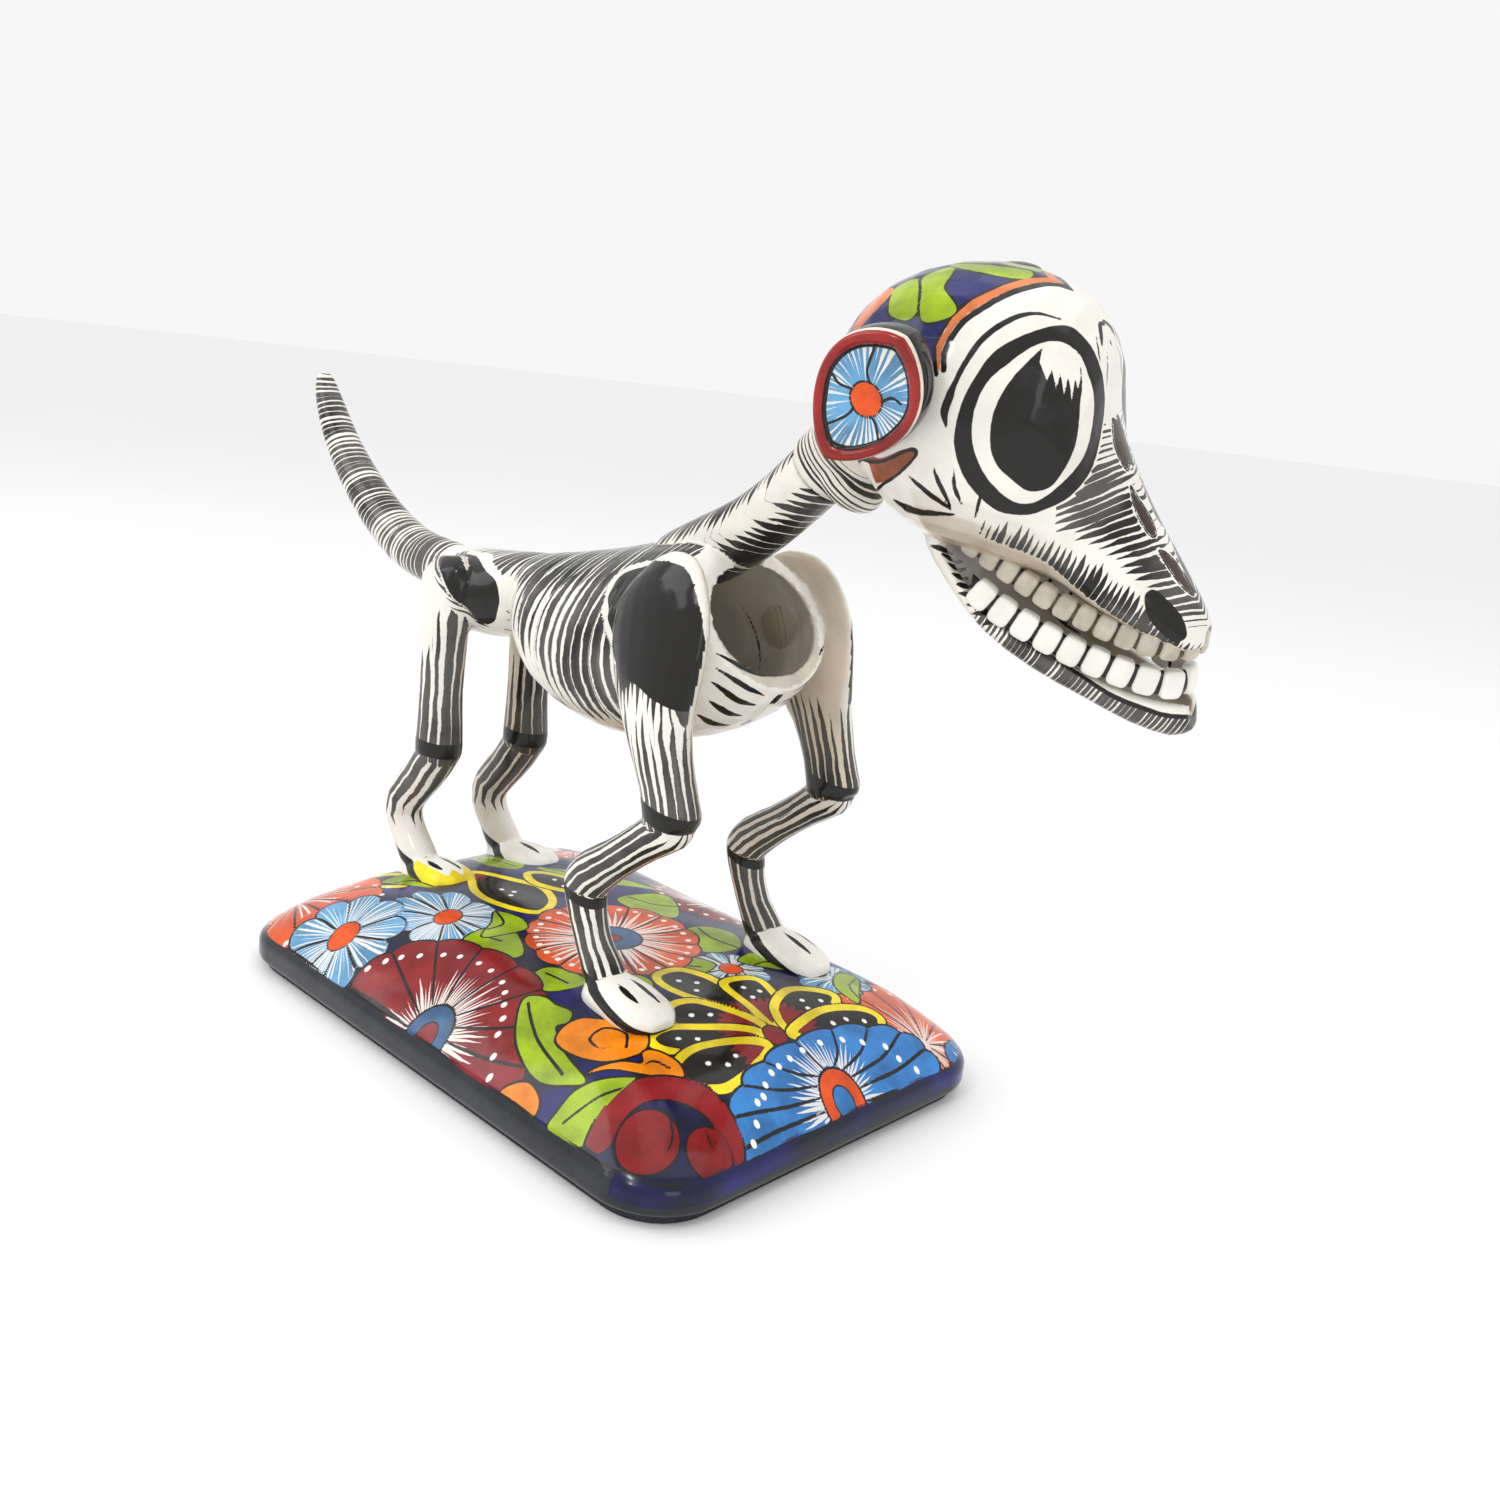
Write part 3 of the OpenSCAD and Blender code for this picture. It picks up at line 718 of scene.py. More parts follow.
def paint_head(co, no, label):
    n = len(co)
    side = np.where(co[:, 1] > 0, -1.0, 1.0)
    P = np.column_stack([co[:, 0], -np.abs(co[:, 1]), co[:, 2]])
    N = np.column_stack([no[:, 0], no[:, 1] * side, no[:, 2]])
    D = P - FACE_MIDDLE
    Q = np.column_stack([D @ U_AXIS, D @ V_AXIS])
    u, v = Q.T
    facing = N @ LOOK
    skull, collar, jaw = label == 0, label == 1, label == 2
    f = {k: np.full(n, -FAR) for k in ("ink", "cobalt", "tan", "green", "rust", "sheen_on_black", "line")}
    # Beige share of the glaze: painted shade, raised below where faces turn down or inward.
    clay_and_shade = np.full(n, 0.05)
    lin, ink, lin2, ink2 = np.zeros(n), np.full(n, BARE), np.zeros(n), np.full(n, BARE)
    on = skull & (facing > -0.25)

    # cap: cobalt with green leaves, bordered by an orange band over a black line
    cap = np.minimum(blob(Q, CAP, smooth=False), np.where(skull, FAR, -FAR))
    low = stroke(Q, BAND_LOW, 2.0, (0.8, 0.8))
    band = blob(Q, BAND_LOW + BAND_TOP[::-1], smooth=False)
    f["cobalt"] = cap
    stripe = blob(Q, [(-29, 42), (-36, 35), (-43, 30), (-42, 34), (-38, 40), (-31, 45)]) - 0.3
    f["tan"] = np.where(skull, np.maximum(np.minimum(band - 0.2, -low), stripe), -FAR)
    leaf, under = np.full(n, -FAR), np.full(n, -FAR)
    for pts in LEAVES:
        sd = blob(Q, pts) + 0.5
        leaf, under = np.maximum(np.minimum(leaf, -sd - 0.9), sd), np.maximum(under, sd + 0.9)
    f["green"] = np.where(skull, leaf, -FAR)
    f["ink"] = np.where(skull, best_of(under, stroke(Q, BAND_TOP, 1.2)), -FAR)
    shade = blob(Q, [(-43, -6), (-38, -10), (-31, -9.5), (-28, -11), (-32, -15), (-38, -16), (-41, -10)])
    f["rust"] = np.where(on, shade, -FAR)

    # eye
    eye_out, eye_in, socket = blob(Q, RING_OUT), blob(Q, RING_IN), blob(Q, SOCKET)
    ring = np.minimum(eye_out, -eye_in)
    hole = np.minimum(socket, -blob(Q, GLINT, smooth=False))
    lines = best_of(
        ring, hole, np.where(band > -2, low, -FAR),
        stroke(Q, [(-19, 1), (-17, 6), (-14, 11), (-8, 18), (1, 23), (8, 24), (15, 22)], 1.8, (0.7, 0.3)),
        stroke(Q, [(-20, -6), (-20.5, -2), (-19, 2), (-17, 7)], 2.4, (0.3, 0.3)),
        stroke(Q, [(-44, -7), (-38, -11), (-30, -10), (-28.5, -12), (-33, -15.5), (-38, -17)], 1.0),
        stroke(Q, [(31, 22), (28.5, 22), (28, 14)], 1.5, (0.6, 0.1)),
        stroke(Q, [(32, 21), (33, 15)], 1.6, (0.7, 0.1)), stroke(Q, [(26, 18), (27, 9)], 0.7, (0.4, 0.1)),
        stroke(Q, [(30, 14), (29.5, 3)], 0.6, (0.4, 0.1)), blob(Q, NOSTRIL))
    cheek = np.full(n, -FAR)
    for pts, w in (([(-24, -15), (-22, -20), (-18, -27)], 1.1), ([(-31, -16), (-25, -22), (-18, -27.5)], 1.1),
                   ([(-34, -21), (-27, -26), (-17, -29)], 1.2), ([(-18, -17), (-17.5, -22), (-15, -27)], 1.1),
                   ([(-10, -24), (-11, -31)], 1.0)):
        cheek = np.maximum(cheek, stroke(Q, pts, w, (0.1, 0.45)))
    lines = np.maximum(lines, cheek)
    # The lozenges down the muzzle are black paint drawn dark brown: a painted reflection of the glaze's
    # sheen, inside a black outline.
    sheen_on_black = best_of(*[blob(Q, p) for p in LOZENGES])
    f["sheen_on_black"] = np.where(on, sheen_on_black - 0.4, -FAR)
    lines = np.maximum(lines, np.minimum(sheen_on_black + 0.3, -(sheen_on_black - 0.4)))
    f["line"] = np.where(on, lines, -FAR)

    # hatching of the muzzle, on each side of the white diagonal
    middle = ramp(u, (-12, 5, 14, 25, 35, 40, 55), (-30, -35, -38.5, -46, -53, -58, -73))
    gum = ramp(u, (-14, -7, -2, 6, 16, 57, 62), (-32, -39, -45, -50, -55, -79, -75))
    d = (v - middle) * 0.85
    q = 0.97 * v - u * ramp(v, (-62, -20), (0.06, 0.34))
    ridge = ramp(-P[:, 1], (0.5, 5), (0.25, 0.0))
    up = np.minimum(ramp(d, (0.5, 4, 9, 20, 28), (-0.2, 0.55, 0.97, 0.8, 0.42)) - ridge,
                    ramp(v, (-20, -10), (1.0, 0.25)))
    up = np.minimum(up, np.minimum(ramp(eye_out, (-1.5, 0.0), (1.2, -0.5)), ramp(q, (-62, -56), (0.45, 1.0))))
    up = np.where(on & (d > 0) & (u > 12) & (v < -6) & (sheen_on_black < -0.6), up, BARE)
    lin, ink = q / 1.9, up
    q2 = 0.88 * u - 0.47 * v + 0.004 * (v + 60) ** 2
    down = ramp(-d, (0.2, 3, 7, 16), (-0.2, 0.55, 1.04, 1.0))
    down = np.minimum(down, ramp(u, (-10, 2, 50, 56), (0.2, 1.0, 1.0, 0.4)))
    down = np.where(on & (d < 0) & (v > gum - 7) & (N[:, 2] > -0.55) & (u > -9), down, BARE)
    lin2, ink2 = q2 / 2.0, down

    # under the muzzle and inside the mouth: painted shade, beige where faces turn down
    m = skull & (N[:, 2] < -0.3) & (P[:, 0] > 140)
    clay_and_shade[m] = ramp(N[m, 2], (-0.7, -0.35), (0.9, 0.1))
    m &= N[:, 2] < -0.6
    ink[m], ink2[m] = BARE, BARE
    # Painted shade: the back of the skull turns beige towards the neck.
    m = skull & (P[:, 0] < 128) & (P[:, 2] < 270)
    clay_and_shade[m] = ramp(P[m, 2], (235, 265), (0.35, 0.1))

    # collar rings
    s = (P - PIVOT) @ np.array(NECK_LINE)
    lin[collar], ink[collar] = (s / 1.9)[collar], ramp(s, (2, 4, 15, 19), (-0.2, 0.36, 0.36, -0.3))[collar]
    # Painted shade: the collar under the ear is drawn a little beige.
    ink2[collar], clay_and_shade[collar] = BARE, 0.28

    # jaw: short hatching under a black line, longer strokes at the back
    jl = stroke(Q, JAW_LINE, 1.5)
    line_v = ramp(u, [p[0] for p in JAW_LINE], [p[1] for p in JAW_LINE])
    q3 = 0.82 * u - 0.57 * v
    below = np.where(jaw & (v < line_v) & (u > -8) & (N[:, 1] < 0.35), 0.85, BARE)
    below = np.minimum(below, ramp(line_v - v, (0, 9, 13), (0.9, 0.75, 0.3)))
    lin[jaw], ink[jaw] = (q3 / 1.75)[jaw], below[jaw]
    ink2[jaw] = BARE
    rear = np.maximum(jl, cheek)
    for pts in ([(-24, -29), (-18, -31), (-14, -32)], [(-21, -34), (-16, -36), (-12, -36)],
                [(-18, -37), (-13, -39), (-9, -38.5)], [(-16, -40), (-12, -42), (-8, -41)],
                [(-15, -43.5), (-11, -45), (-8, -44.5)], [(-14, -47), (-10, -48), (-7, -47.5)],
                [(-13, -50), (-9, -51), (-6, -50)], [(-11, -54), (-7, -54), (-4, -52.5)],
                [(-9, -57), (-5, -57), (-2, -55.5)], [(-6, -61), (-3, -60), (0, -58.5)]):
        rear = np.maximum(rear, stroke(Q, pts, 1.9, (0.15, 0.5)))
    m = jaw & (N[:, 1] < 0.35)
    f["line"][m] = rear[m]
    # Painted shade: the jaw turns beige on its inward faces and underneath.
    clay_and_shade[jaw] = np.maximum(ramp(N[jaw, 1], (0.0, 0.5), (0.05, 0.75)),
                           ramp(N[jaw, 2], (-0.9, -0.4), (0.5, 0.0)))
    f.update({"clay_and_shade": np.clip(clay_and_shade, 0, 1), "st_a": np.column_stack([lin, ink, np.zeros(n)]),
              "st_b": np.column_stack([np.ones(n), np.zeros(n), np.zeros(n)]),
              "st_c": np.column_stack([lin2, ink2, np.zeros(n)])})
    return f


HEAD = ["skull", "neck_socket", "lower_jaw"]
head_mat = painted("head_painted", bone_base, ["cobalt", "ink", "tan", "green", "rust", "sheen_on_black"],
                   hatched=True)
head = fused("head_skin", HEAD, 0.85, 6, straight)
co, no, *_ = mesh_data(head)
label = nearest_node(co, HEAD, straight)
fields = paint_head(co, no, label)
set_co(head, turned(co))
for name, piece in split(head, label, [s + "_skin" for s in HEAD], fields).items():
    use(piece, head_mat)
    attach(piece, "head")
    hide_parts(name[:-5])


# ---------------------------------------------------------------- ears

def strip(rings):
    """Points and faces of a stack of closed rings with the same number of points."""
    n = len(rings[0])
    faces = []
    for k in range(len(rings) - 1):
        for i in range(n):
            j = (i + 1) % n
            faces.append((k * n + i, k * n + j, (k + 1) * n + j, (k + 1) * n + i))
    return np.concatenate(rings), faces


EAR_PROFILE = [(0.0, 0.2), (0.5, 0.2), (0.8, 1.0), (0.9, 2.4), (0.965, 5), (0.99, 8.5), (0.992, 11),
               (0.972, 13.2), (0.93, 14.3), (0.885, 14.5), (0.84, 14.3), (0.80, 13.6), (0.765, 12.7),
               (0.70, 12.2), (0.5, 11.9), (0.25, 11.8), (0.0, 11.8)]


EAR_LONG, EAR_WIDE = 24.5, 16.7
EAR_CENTRE = (132.5, -41, 285.5)
EAR_MIDDLE = (0, -0.5)
PETAL_ANGLES = (20, 95, 160, 232, 305)


def ear(side, name, node):
    """A dished leaf with a flower in it; side is 1 for the right ear and -1 for the left."""
    prof = curve(EAR_PROFILE, closed=False, k=10)
    t = -2 * math.pi * np.arange(180) / 180
    sy = np.sign(np.sin(t)) * np.abs(np.sin(t)) ** (1 / 0.72)
    outline = np.column_stack([EAR_LONG * np.cos(t), EAR_WIDE * sy * (1 + 0.17 * np.cos(t))])
    wobble = 1 + 0.008 * np.sin(5 * t + 1) + 0.006 * np.sin(9 * t)
    rings = []
    for q, h in prof:
        ring = outline * (max(q, 0.004) * wobble)[:, None] if q < 0.9 else outline * q
        rings.append(np.column_stack([ring, np.full(len(t), h)]))
    flat, faces = strip(rings)
    size = np.repeat(prof[:, 0], len(t))
    height = flat[:, 2]
    k = np.repeat(np.arange(len(prof)), len(t)) / len(prof)
    inner = k > 0.56
    Q = flat[:, :2]
    f = {}
    f["red"] = np.minimum((size - 0.765) * 20, height - 13.3)
    f["cream"] = np.where(size > 0.9, np.minimum(height - 12.1, 13.6 - height), -FAR)
    rim = np.where(inner, 0.55 - np.abs(size - 0.757) * 20, -FAR)
    core = disc(Q, EAR_MIDDLE, 5.0)
    f["ink"] = np.where(inner, core + 0.7, -FAR)
    f["pale"] = np.minimum(np.where(inner, (0.75 - size) * 20, -FAR), -core)
    f["core"] = np.where(inner, core, -FAR)
    petals = rim
    for a in PETAL_ANGLES:
        d = np.array([math.cos(math.radians(a)), math.sin(math.radians(a))])
        tip = d * (19 if abs(d[0]) > 0.6 else 12)
        bend = np.array([-d[1], d[0]]) * 1.3
        petal = stroke(Q, [d * 5.2 + EAR_MIDDLE, d * 9 + bend, tip], 0.9)
        petals = np.maximum(petals, np.where(inner & (size < 0.76), petal, -FAR))
    f["line"] = petals
    f["clay_and_shade"] = np.zeros(len(Q))
    white = np.where(f["pale"] > 0, ramp(size, (0.2, 0.45, 0.74), (-0.2, 0.12, 0.36)), BARE)
    turns = np.arctan2(Q[:, 1] + 0.5, Q[:, 0]) * 46 / (2 * math.pi)
    rays = np.column_stack([turns, white, np.zeros(len(Q))])
    M = np.eye(3)
    for angle, axis in ((52, "Z"), (94, "X"), (-4, "Z")):
        M = np.array(Matrix.Rotation(math.radians(angle), 3, axis)) @ M
    world = flat @ M.T + EAR_CENTRE
    if side < 0:
        world[:, 1] *= -1
        faces = [tuple(reversed(p)) for p in faces]
    obj = new_object(name, turned(world), faces)
    for key, value in f.items():
        put(obj, key, value)
    put(obj, "rays", rays)
    use(obj, ear_mat)
    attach(obj, "head")
    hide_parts(node)


def black_base(t, pool):
    return t.tinted(pool, BLACK)


ear_mat = painted("ear_painted", black_base, ["cream", "red", "pale", "ink", "core"], rays=True)
ear(1, "ear_right_dish", "ear_right")
ear(-1, "ear_left_dish", "ear_left")


# ---------------------------------------------------------------- teeth

TOOTH_THICK = 2.6
TURN = np.linspace(0, 2 * math.pi, 29)[:-1]


def boxy(v, e):
    """Squares off a sine or a cosine, for a block with rounded corners."""
    return np.sign(v) * np.abs(v) ** e


def tooth_blocks(name, node, gum, tip_x, tall, lift, count, mat, behind):
    """Rounded blocks set side by side along the gum, on a low strip that joins them."""
    right = [(x, -d, z) for x, z, d in gum]
    left = [(x, d, z) for x, z, d in gum[::-1]]
    path = curve(right + [(tip_x, 0, gum[-1][1])] + left, closed=False, k=12)
    run = np.concatenate([[0], np.cumsum(np.linalg.norm(np.diff(path, axis=0), axis=1))])

    def at(s):
        return np.array([np.interp(s, run, path[:, i]) for i in range(3)])

    def outward(d):
        out = np.cross(d, (0, 0, 1))
        return out / np.linalg.norm(out)

    pitch = run[-1] / count
    co, faces, n = [], [], 0
    rng = np.random.default_rng(5)
    for i in range(count):
        s = (i + 0.5) * pitch
        p = at(s)
        d = at(s + pitch * 0.4) - at(s - pitch * 0.4)
        length = np.linalg.norm(d)
        d /= length
        out = outward(d)
        up = np.cross(out, d)
        half = pitch * (0.455 + 0.012 * rng.uniform(-1, 1, 3)[1])
        along_gum, across = boxy(np.cos(TURN), 0.5) * half, boxy(np.sin(TURN), 0.5) * TOOTH_THICK
        rings = []
        for b in np.linspace(-math.pi / 2, math.pi / 2, 17):
            cb = boxy(np.cos(b), 0.42)
            rings.append(p + np.outer(along_gum * cb, d) + np.outer(across * cb, out)
                         + up * (boxy(np.sin(b), 0.6) * tall) + np.array([0, 0, lift]))
        c, fs = strip(rings)
        co.append(c)
        faces += [tuple(j + n for j in q) for q in fs]
        n += len(c)
    obj = new_object(name, turned(np.concatenate(co)), faces)
    use(obj, mat)
    rings = []
    for s in np.linspace(0.2, run[-1] - 0.2, 140):
        out = outward(at(s + 0.5) - at(s - 0.5))
        t = np.linspace(0, 2 * math.pi, 15)[:-1]
        rings.append(at(s) + np.outer(np.cos(t) * 1.7, out)
                     + np.outer(np.sin(t) * (tall - 0.7) + lift, (0, 0, 1)))
    c, fs = strip(rings)
    n = len(rings[0])
    fs += [tuple(range(n))[::-1], tuple(range(len(c) - n, len(c)))]
    wall = new_object(name + "_wall", turned(c), fs)
    use(wall, behind)
    for piece in (obj, wall):
        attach(piece, "head")
        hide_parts(node)


def plain_glaze(name, colour, low, high, scale=60.0, rough=0.16, bump=0.15):
    t = Tree(name)
    return t.glaze(t.tinted(t.between(t.noise(scale, 3.0), 0.3, 0.7), colour, low, high), rough, bump)


tooth_white = plain_glaze("tooth_white", (0.84, 0.82, 0.76), 0.92, 1.06)
# The upper teeth are the white tooth glaze darkened to grey-beige: painted shade under the muzzle.
tooth_in_painted_shade = plain_glaze("tooth_in_painted_shade", (0.50, 0.45, 0.37), 0.78, 1.15, 140.0)
gap_black = plain_glaze("gap_black", (0.014, 0.012, 0.011), 0.6, 1.6, 120.0)
gap_brown = plain_glaze("gap_brown", (0.06, 0.042, 0.028), 0.5, 1.6, 120.0)
tooth_blocks("upper_teeth_row", "upper_teeth",
             [(150, 232, 19.5), (163, 225, 20.5), (177, 217, 20.5), (190, 210.5, 19),
             (203, 205, 16.5), (214, 201.5, 12.5), (220, 200, 7)], 222, 3.9, 1.0, 25, tooth_in_painted_shade, gap_brown)
tooth_blocks("lower_teeth_row", "lower_teeth",
             [(153.5, 211.5, 21.5), (162, 205, 21), (175, 197.5, 19.2), (190, 190.5, 16.7),
             (204, 185, 13.2), (214, 181.8, 8.6), (218, 181, 4.5)], 219.4, 5.0, 6.5, 19, tooth_white,
             gap_black)

# ---------------------------------------------------------------- the plinth

LONG, WIDE, RADIUS, RIM, CROWN = 277.0, 190.0, 28.0, 14.0, 44.0
WALL = 7.5
LINE_WIDTH = 1.15
DOT_RADIUS = 1.25


def crown_z(inset):
    """Height of the crowned top at that distance in from the edge."""
    return RIM + (CROWN - RIM) * (1 - np.abs(1 - 2 * inset / WIDE) ** 3.8)


def plinth_ring(inset, z, count):
    """A rounded rectangle of about count points, that far in from the plinth's edge."""
    a, b = LONG / 2 - inset, WIDE / 2 - inset
    r = min(RADIUS + 0.45 * inset, b - 0.1)
    parts = []
    share = np.array([WIDE / 2 - RADIUS, RADIUS * math.pi / 2, LONG / 2 - RADIUS])
    steps = np.maximum(1, np.round(count / 4 * share / share.sum())).astype(int)
    t = np.arange(steps[0]) / steps[0]
    parts.append(np.column_stack([np.full(len(t), a), t * (b - r)]))
    t = np.arange(steps[1]) / steps[1] * math.pi / 2
    parts.append(np.column_stack([a - r + r * np.cos(t), b - r + r * np.sin(t)]))
    t = np.arange(steps[2] + 1) / steps[2]
    parts.append(np.column_stack([(a - r) * (1 - t), np.full(len(t), b)]))
    q = np.concatenate(parts)
    half = np.concatenate([q, (q * (-1, 1))[::-1][1:]])
    full = np.concatenate([half, (half * (1, -1))[::-1][1:-1]])
    return np.column_stack([full, np.full(len(full), z)])


def flower(p, c, rx, ry, petals, layer, ring=None, core=None, rays=None, dots=True, turn=0.0, lobes=0.07,
           dot_list=None):
    """A lobed flower with lines between its petals, white flames from its eye and dots near its edge."""
    c = np.asarray(c, float)
    a = np.linspace(0, 2 * math.pi, petals * 8 + 1)[:-1]
    r = 1 - lobes + lobes * np.abs(np.cos((a - turn) * petals / 2)) ** 0.6
    shape = blob(p.P, np.column_stack([np.cos(a) * rx * r, np.sin(a) * ry * r]) + c, smooth=False)
    p.lay(layer, shape)
    scale = np.array([rx, ry])
    if rays:
        p.rays(shape, c, *rays)
    for k in range(petals):
        b = turn + (k + 0.5) * 2 * math.pi / petals
        d = np.array([math.cos(b), math.sin(b)])
        start = ring[0] if ring else 3
        path = [c + d * start, c + d * scale * 0.6 + d[::-1] * (0.5, -0.5), c + d * scale * 0.95]
        p.add("line", np.minimum(stroke(p.P, path, LINE_WIDTH, (0.6, 1.0)), shape))
        if dots and dot_list is None:
            for w in (-0.25, 0.25):
                e = turn + (k + w) * 2 * math.pi / petals
                p.add("dots", disc(p.P, c + np.array([math.cos(e), math.sin(e)]) * scale * 0.87, DOT_RADIUS))
    for q in dot_list or []:
        p.add("dots", disc(p.P, q, DOT_RADIUS))
    if ring:
        p.lay(ring[1], disc(p.P, c, ring[0]))
    if core:
        p.lay(core[1], disc(p.P, c, core[0]), 0.6)


def leaf(p, pts, vein=None, layer="green"):
    shape = blob(p.P, pts)
    p.lay(layer, shape)
    if vein:
        p.add("line", np.minimum(stroke(p.P, vein, LINE_WIDTH), shape))


def small_leaf(p, pts):
    """A leaf whose vein runs from its stalk through its middle."""
    leaf(p, pts, [np.mean(pts[:2], axis=0), np.mean(pts, axis=0), pts[len(pts) // 2]])


def fan_petal(p, pts, c, dots):
    """A yellow petal with a wine heart that turns black away from c, the middle of its fan."""
    shape = blob(p.P, pts) + 2.0
    p.lay("yellow", shape, 0.8)
    inner = shape - 3.7
    d = p.P - np.asarray(c, float)
    p.add("wine", inner)
    p.f["yellow"] = np.minimum(p.f["yellow"], -inner)
    ragged = 0.6 * np.sin(np.arctan2(d[:, 1], d[:, 0]) * 40)
    p.add("line", np.minimum(inner, (np.linalg.norm(d, axis=1) - 21) * 0.3 + ragged))
    for q in dots:
        p.add("dots", disc(p.P, q, 1.15))


def scroll(p, pts, spiral):
    shape = blob(p.P, pts)
    p.lay("amber", shape)
    p.add("line", np.minimum(stroke(p.P, spiral, 1.2, (1, 0.3)), shape))


PLINTH_LAYERS = ["coal", "orange", "amber", "wine", "yellow", "green", "sky", "pale", "steel", "core"]


def paint_plinth(co):
    p = Paint(co[:, :2].copy(), PLINTH_LAYERS + ["ink", "line", "dots"])
    # far side, hidden behind the legs
    flower(p, (-2, 74), 36, 34, 13, "wine", (9, "steel"), (4, "wine"), (40, 9, 22, 0.9))
    flower(p, (-95, 62), 33, 30, 12, "orange", (8, "steel"), (3.5, "wine"), (40, 8, 22, 0.9))
    flower(p, (-138, 18), 30, 27, 12, "sky", (9, "core"), (4, "sky"), (36, 9, 24, 0.95))
    flower(p, (-50, 92), 26, 24, 12, "sky", (8, "core"), (4, "sky"), (36, 8, 20, 0.95))
    flower(p, (56, 88), 26, 24, 9, "pale", None, (5, "core"), (40, 4, 28, 1.0), dots=False, lobes=0.22)
    for q in ([(-67, 15), (-62, 22), (-50, 34), (-39, 41), (-21, 50), (-30, 36), (-46, 20)],
              [(-17, 21), (-18, 35), (-13, 47), (0, 42), (11, 30), (2, 21)],
              [(24, 24), (27, 36), (38, 40), (50, 30), (46, 15), (34, 18)],
              [(30, 62), (36, 70), (48, 66), (56, 56), (44, 52)],
              [(-68, 70), (-62, 82), (-54, 74), (-58, 62)]):
        small_leaf(p, q)
    # right end
    flower(p, (128, 60), 38, 36, 12, "orange", None, None, (60, 2, 19, 0.9), turn=0.2)
    flower(p, (141, 84), 15, 17, 8, "sky", None, (5, "core"), (22, 4, 12, 0.9), dots=False)
    flower(p, (64, 11), 17, 15, 9, "pale", None, (4.6, "core"), (34, 4, 17, 1.0), dots=False, lobes=0.2)
    flower(p, (86, 50), 13, 20, 8, "pale", None, None, (34, 1, 17, 1.0), dots=False, lobes=0.2)
    # yellow petals by the hind paws
    for q in ([(-116, -53), (-104, -56), (-95, -51), (-86, -43), (-96, -36), (-110, -40)],
              [(-77, -13), (-67, -21), (-55, -27), (-41, -27), (-23, -19), (-29, -6), (-45, 1), (-60, -4)],
              [(-126, -38), (-116, -34), (-118, -16), (-130, -10), (-136, -24)],
              [(-62, 6), (-50, 2), (-34, 10), (-30, 22), (-44, 20), (-58, 14)]):
        m = np.mean(q, axis=0)
        fan_petal(p, q, (-88, -22), [m + (2, 2), m - (3, 1), m + (5, -2)])
    leaf(p, [(-100, 2), (-92, 14), (-78, 16), (-70, 6), (-82, -2)], [(-98, 4), (-86, 7), (-74, 8)])
    leaf(p, [(-126, 36), (-118, 30), (-106, 34), (-104, 28), (-112, 20), (-122, 22)],
         [(-124, 33), (-114, 27)])
    # near-left corner
    flower(p, (-128, -71), 50, 30, 12, "orange", None, None, (50, 2, 22, 0.3),
           dot_list=[(-111, -95), (-100, -92), (-92, -83), (-88, -74), (-84, -66), (-84, -56), (-90, -49),
                     (-99, -50), (-107, -54), (-116, -52), (-125, -50)])
    flower(p, (-43, -50), 33, 19, 9, "pale", None, (5.6, "core"), (70, 4, 34, 0.62), dots=False, lobes=0.24)
    flower(p, (-74, -80), 28, 24, 9, "pale", None, (6.2, "core"), (66, 4, 31, 0.62), dots=False, lobes=0.22)
    leaf(p, [(-23, -56), (-23, -44), (-19, -37), (-8, -40), (5, -48), (-2, -56), (-13, -59)],
         [(-20, -50), (-10, -47)])
    leaf(p, [(21, -58), (20, -47), (32, -42), (40, -45), (36, -56), (26, -60)], [(23, -50), (35, -49)])
    leaf(p, [(40, -14), (52, -8), (60, -2), (58, 8), (48, 6), (42, -2)], [(46, -8), (56, 2)])
    flower(p, (15, -9), 37, 36, 14, "orange", (11.5, "steel"), (3.4, "wine"), (54, 9, 29, 1.05),
           turn=0.2)
    flower(p, (5, -92), 55, 40, 15, "wine", (10.5, "steel"), (4.6, "wine"), (80, 10, 24, 0.95), lobes=0.05,
           dot_list=[(-47, -85), (-42, -80), (-37, -76), (-30, -72), (-21, -67), (-14, -64), (-4, -62),
                     (4, -62), (14, -64), (20, -67), (25, -71), (30, -75), (34, -80), (40, -86), (45, -91)])
    for q in ([(-100, -46), (-86, -42), (-74, -36), (-82, -28), (-96, -32)],
              [(-18, -50), (-26, -40), (-34, -32), (-22, -28), (-12, -34)],
              [(44, -30), (50, -24), (58, -26), (60, -36), (50, -42), (43, -38)],
              [(62, -30), (72, -36), (80, -44), (70, -46), (60, -40)],
              [(60, 20), (70, 28), (76, 38), (66, 42), (56, 32)],
              [(104, 44), (98, 52), (86, 66), (82, 58), (92, 44)]):
        small_leaf(p, q)
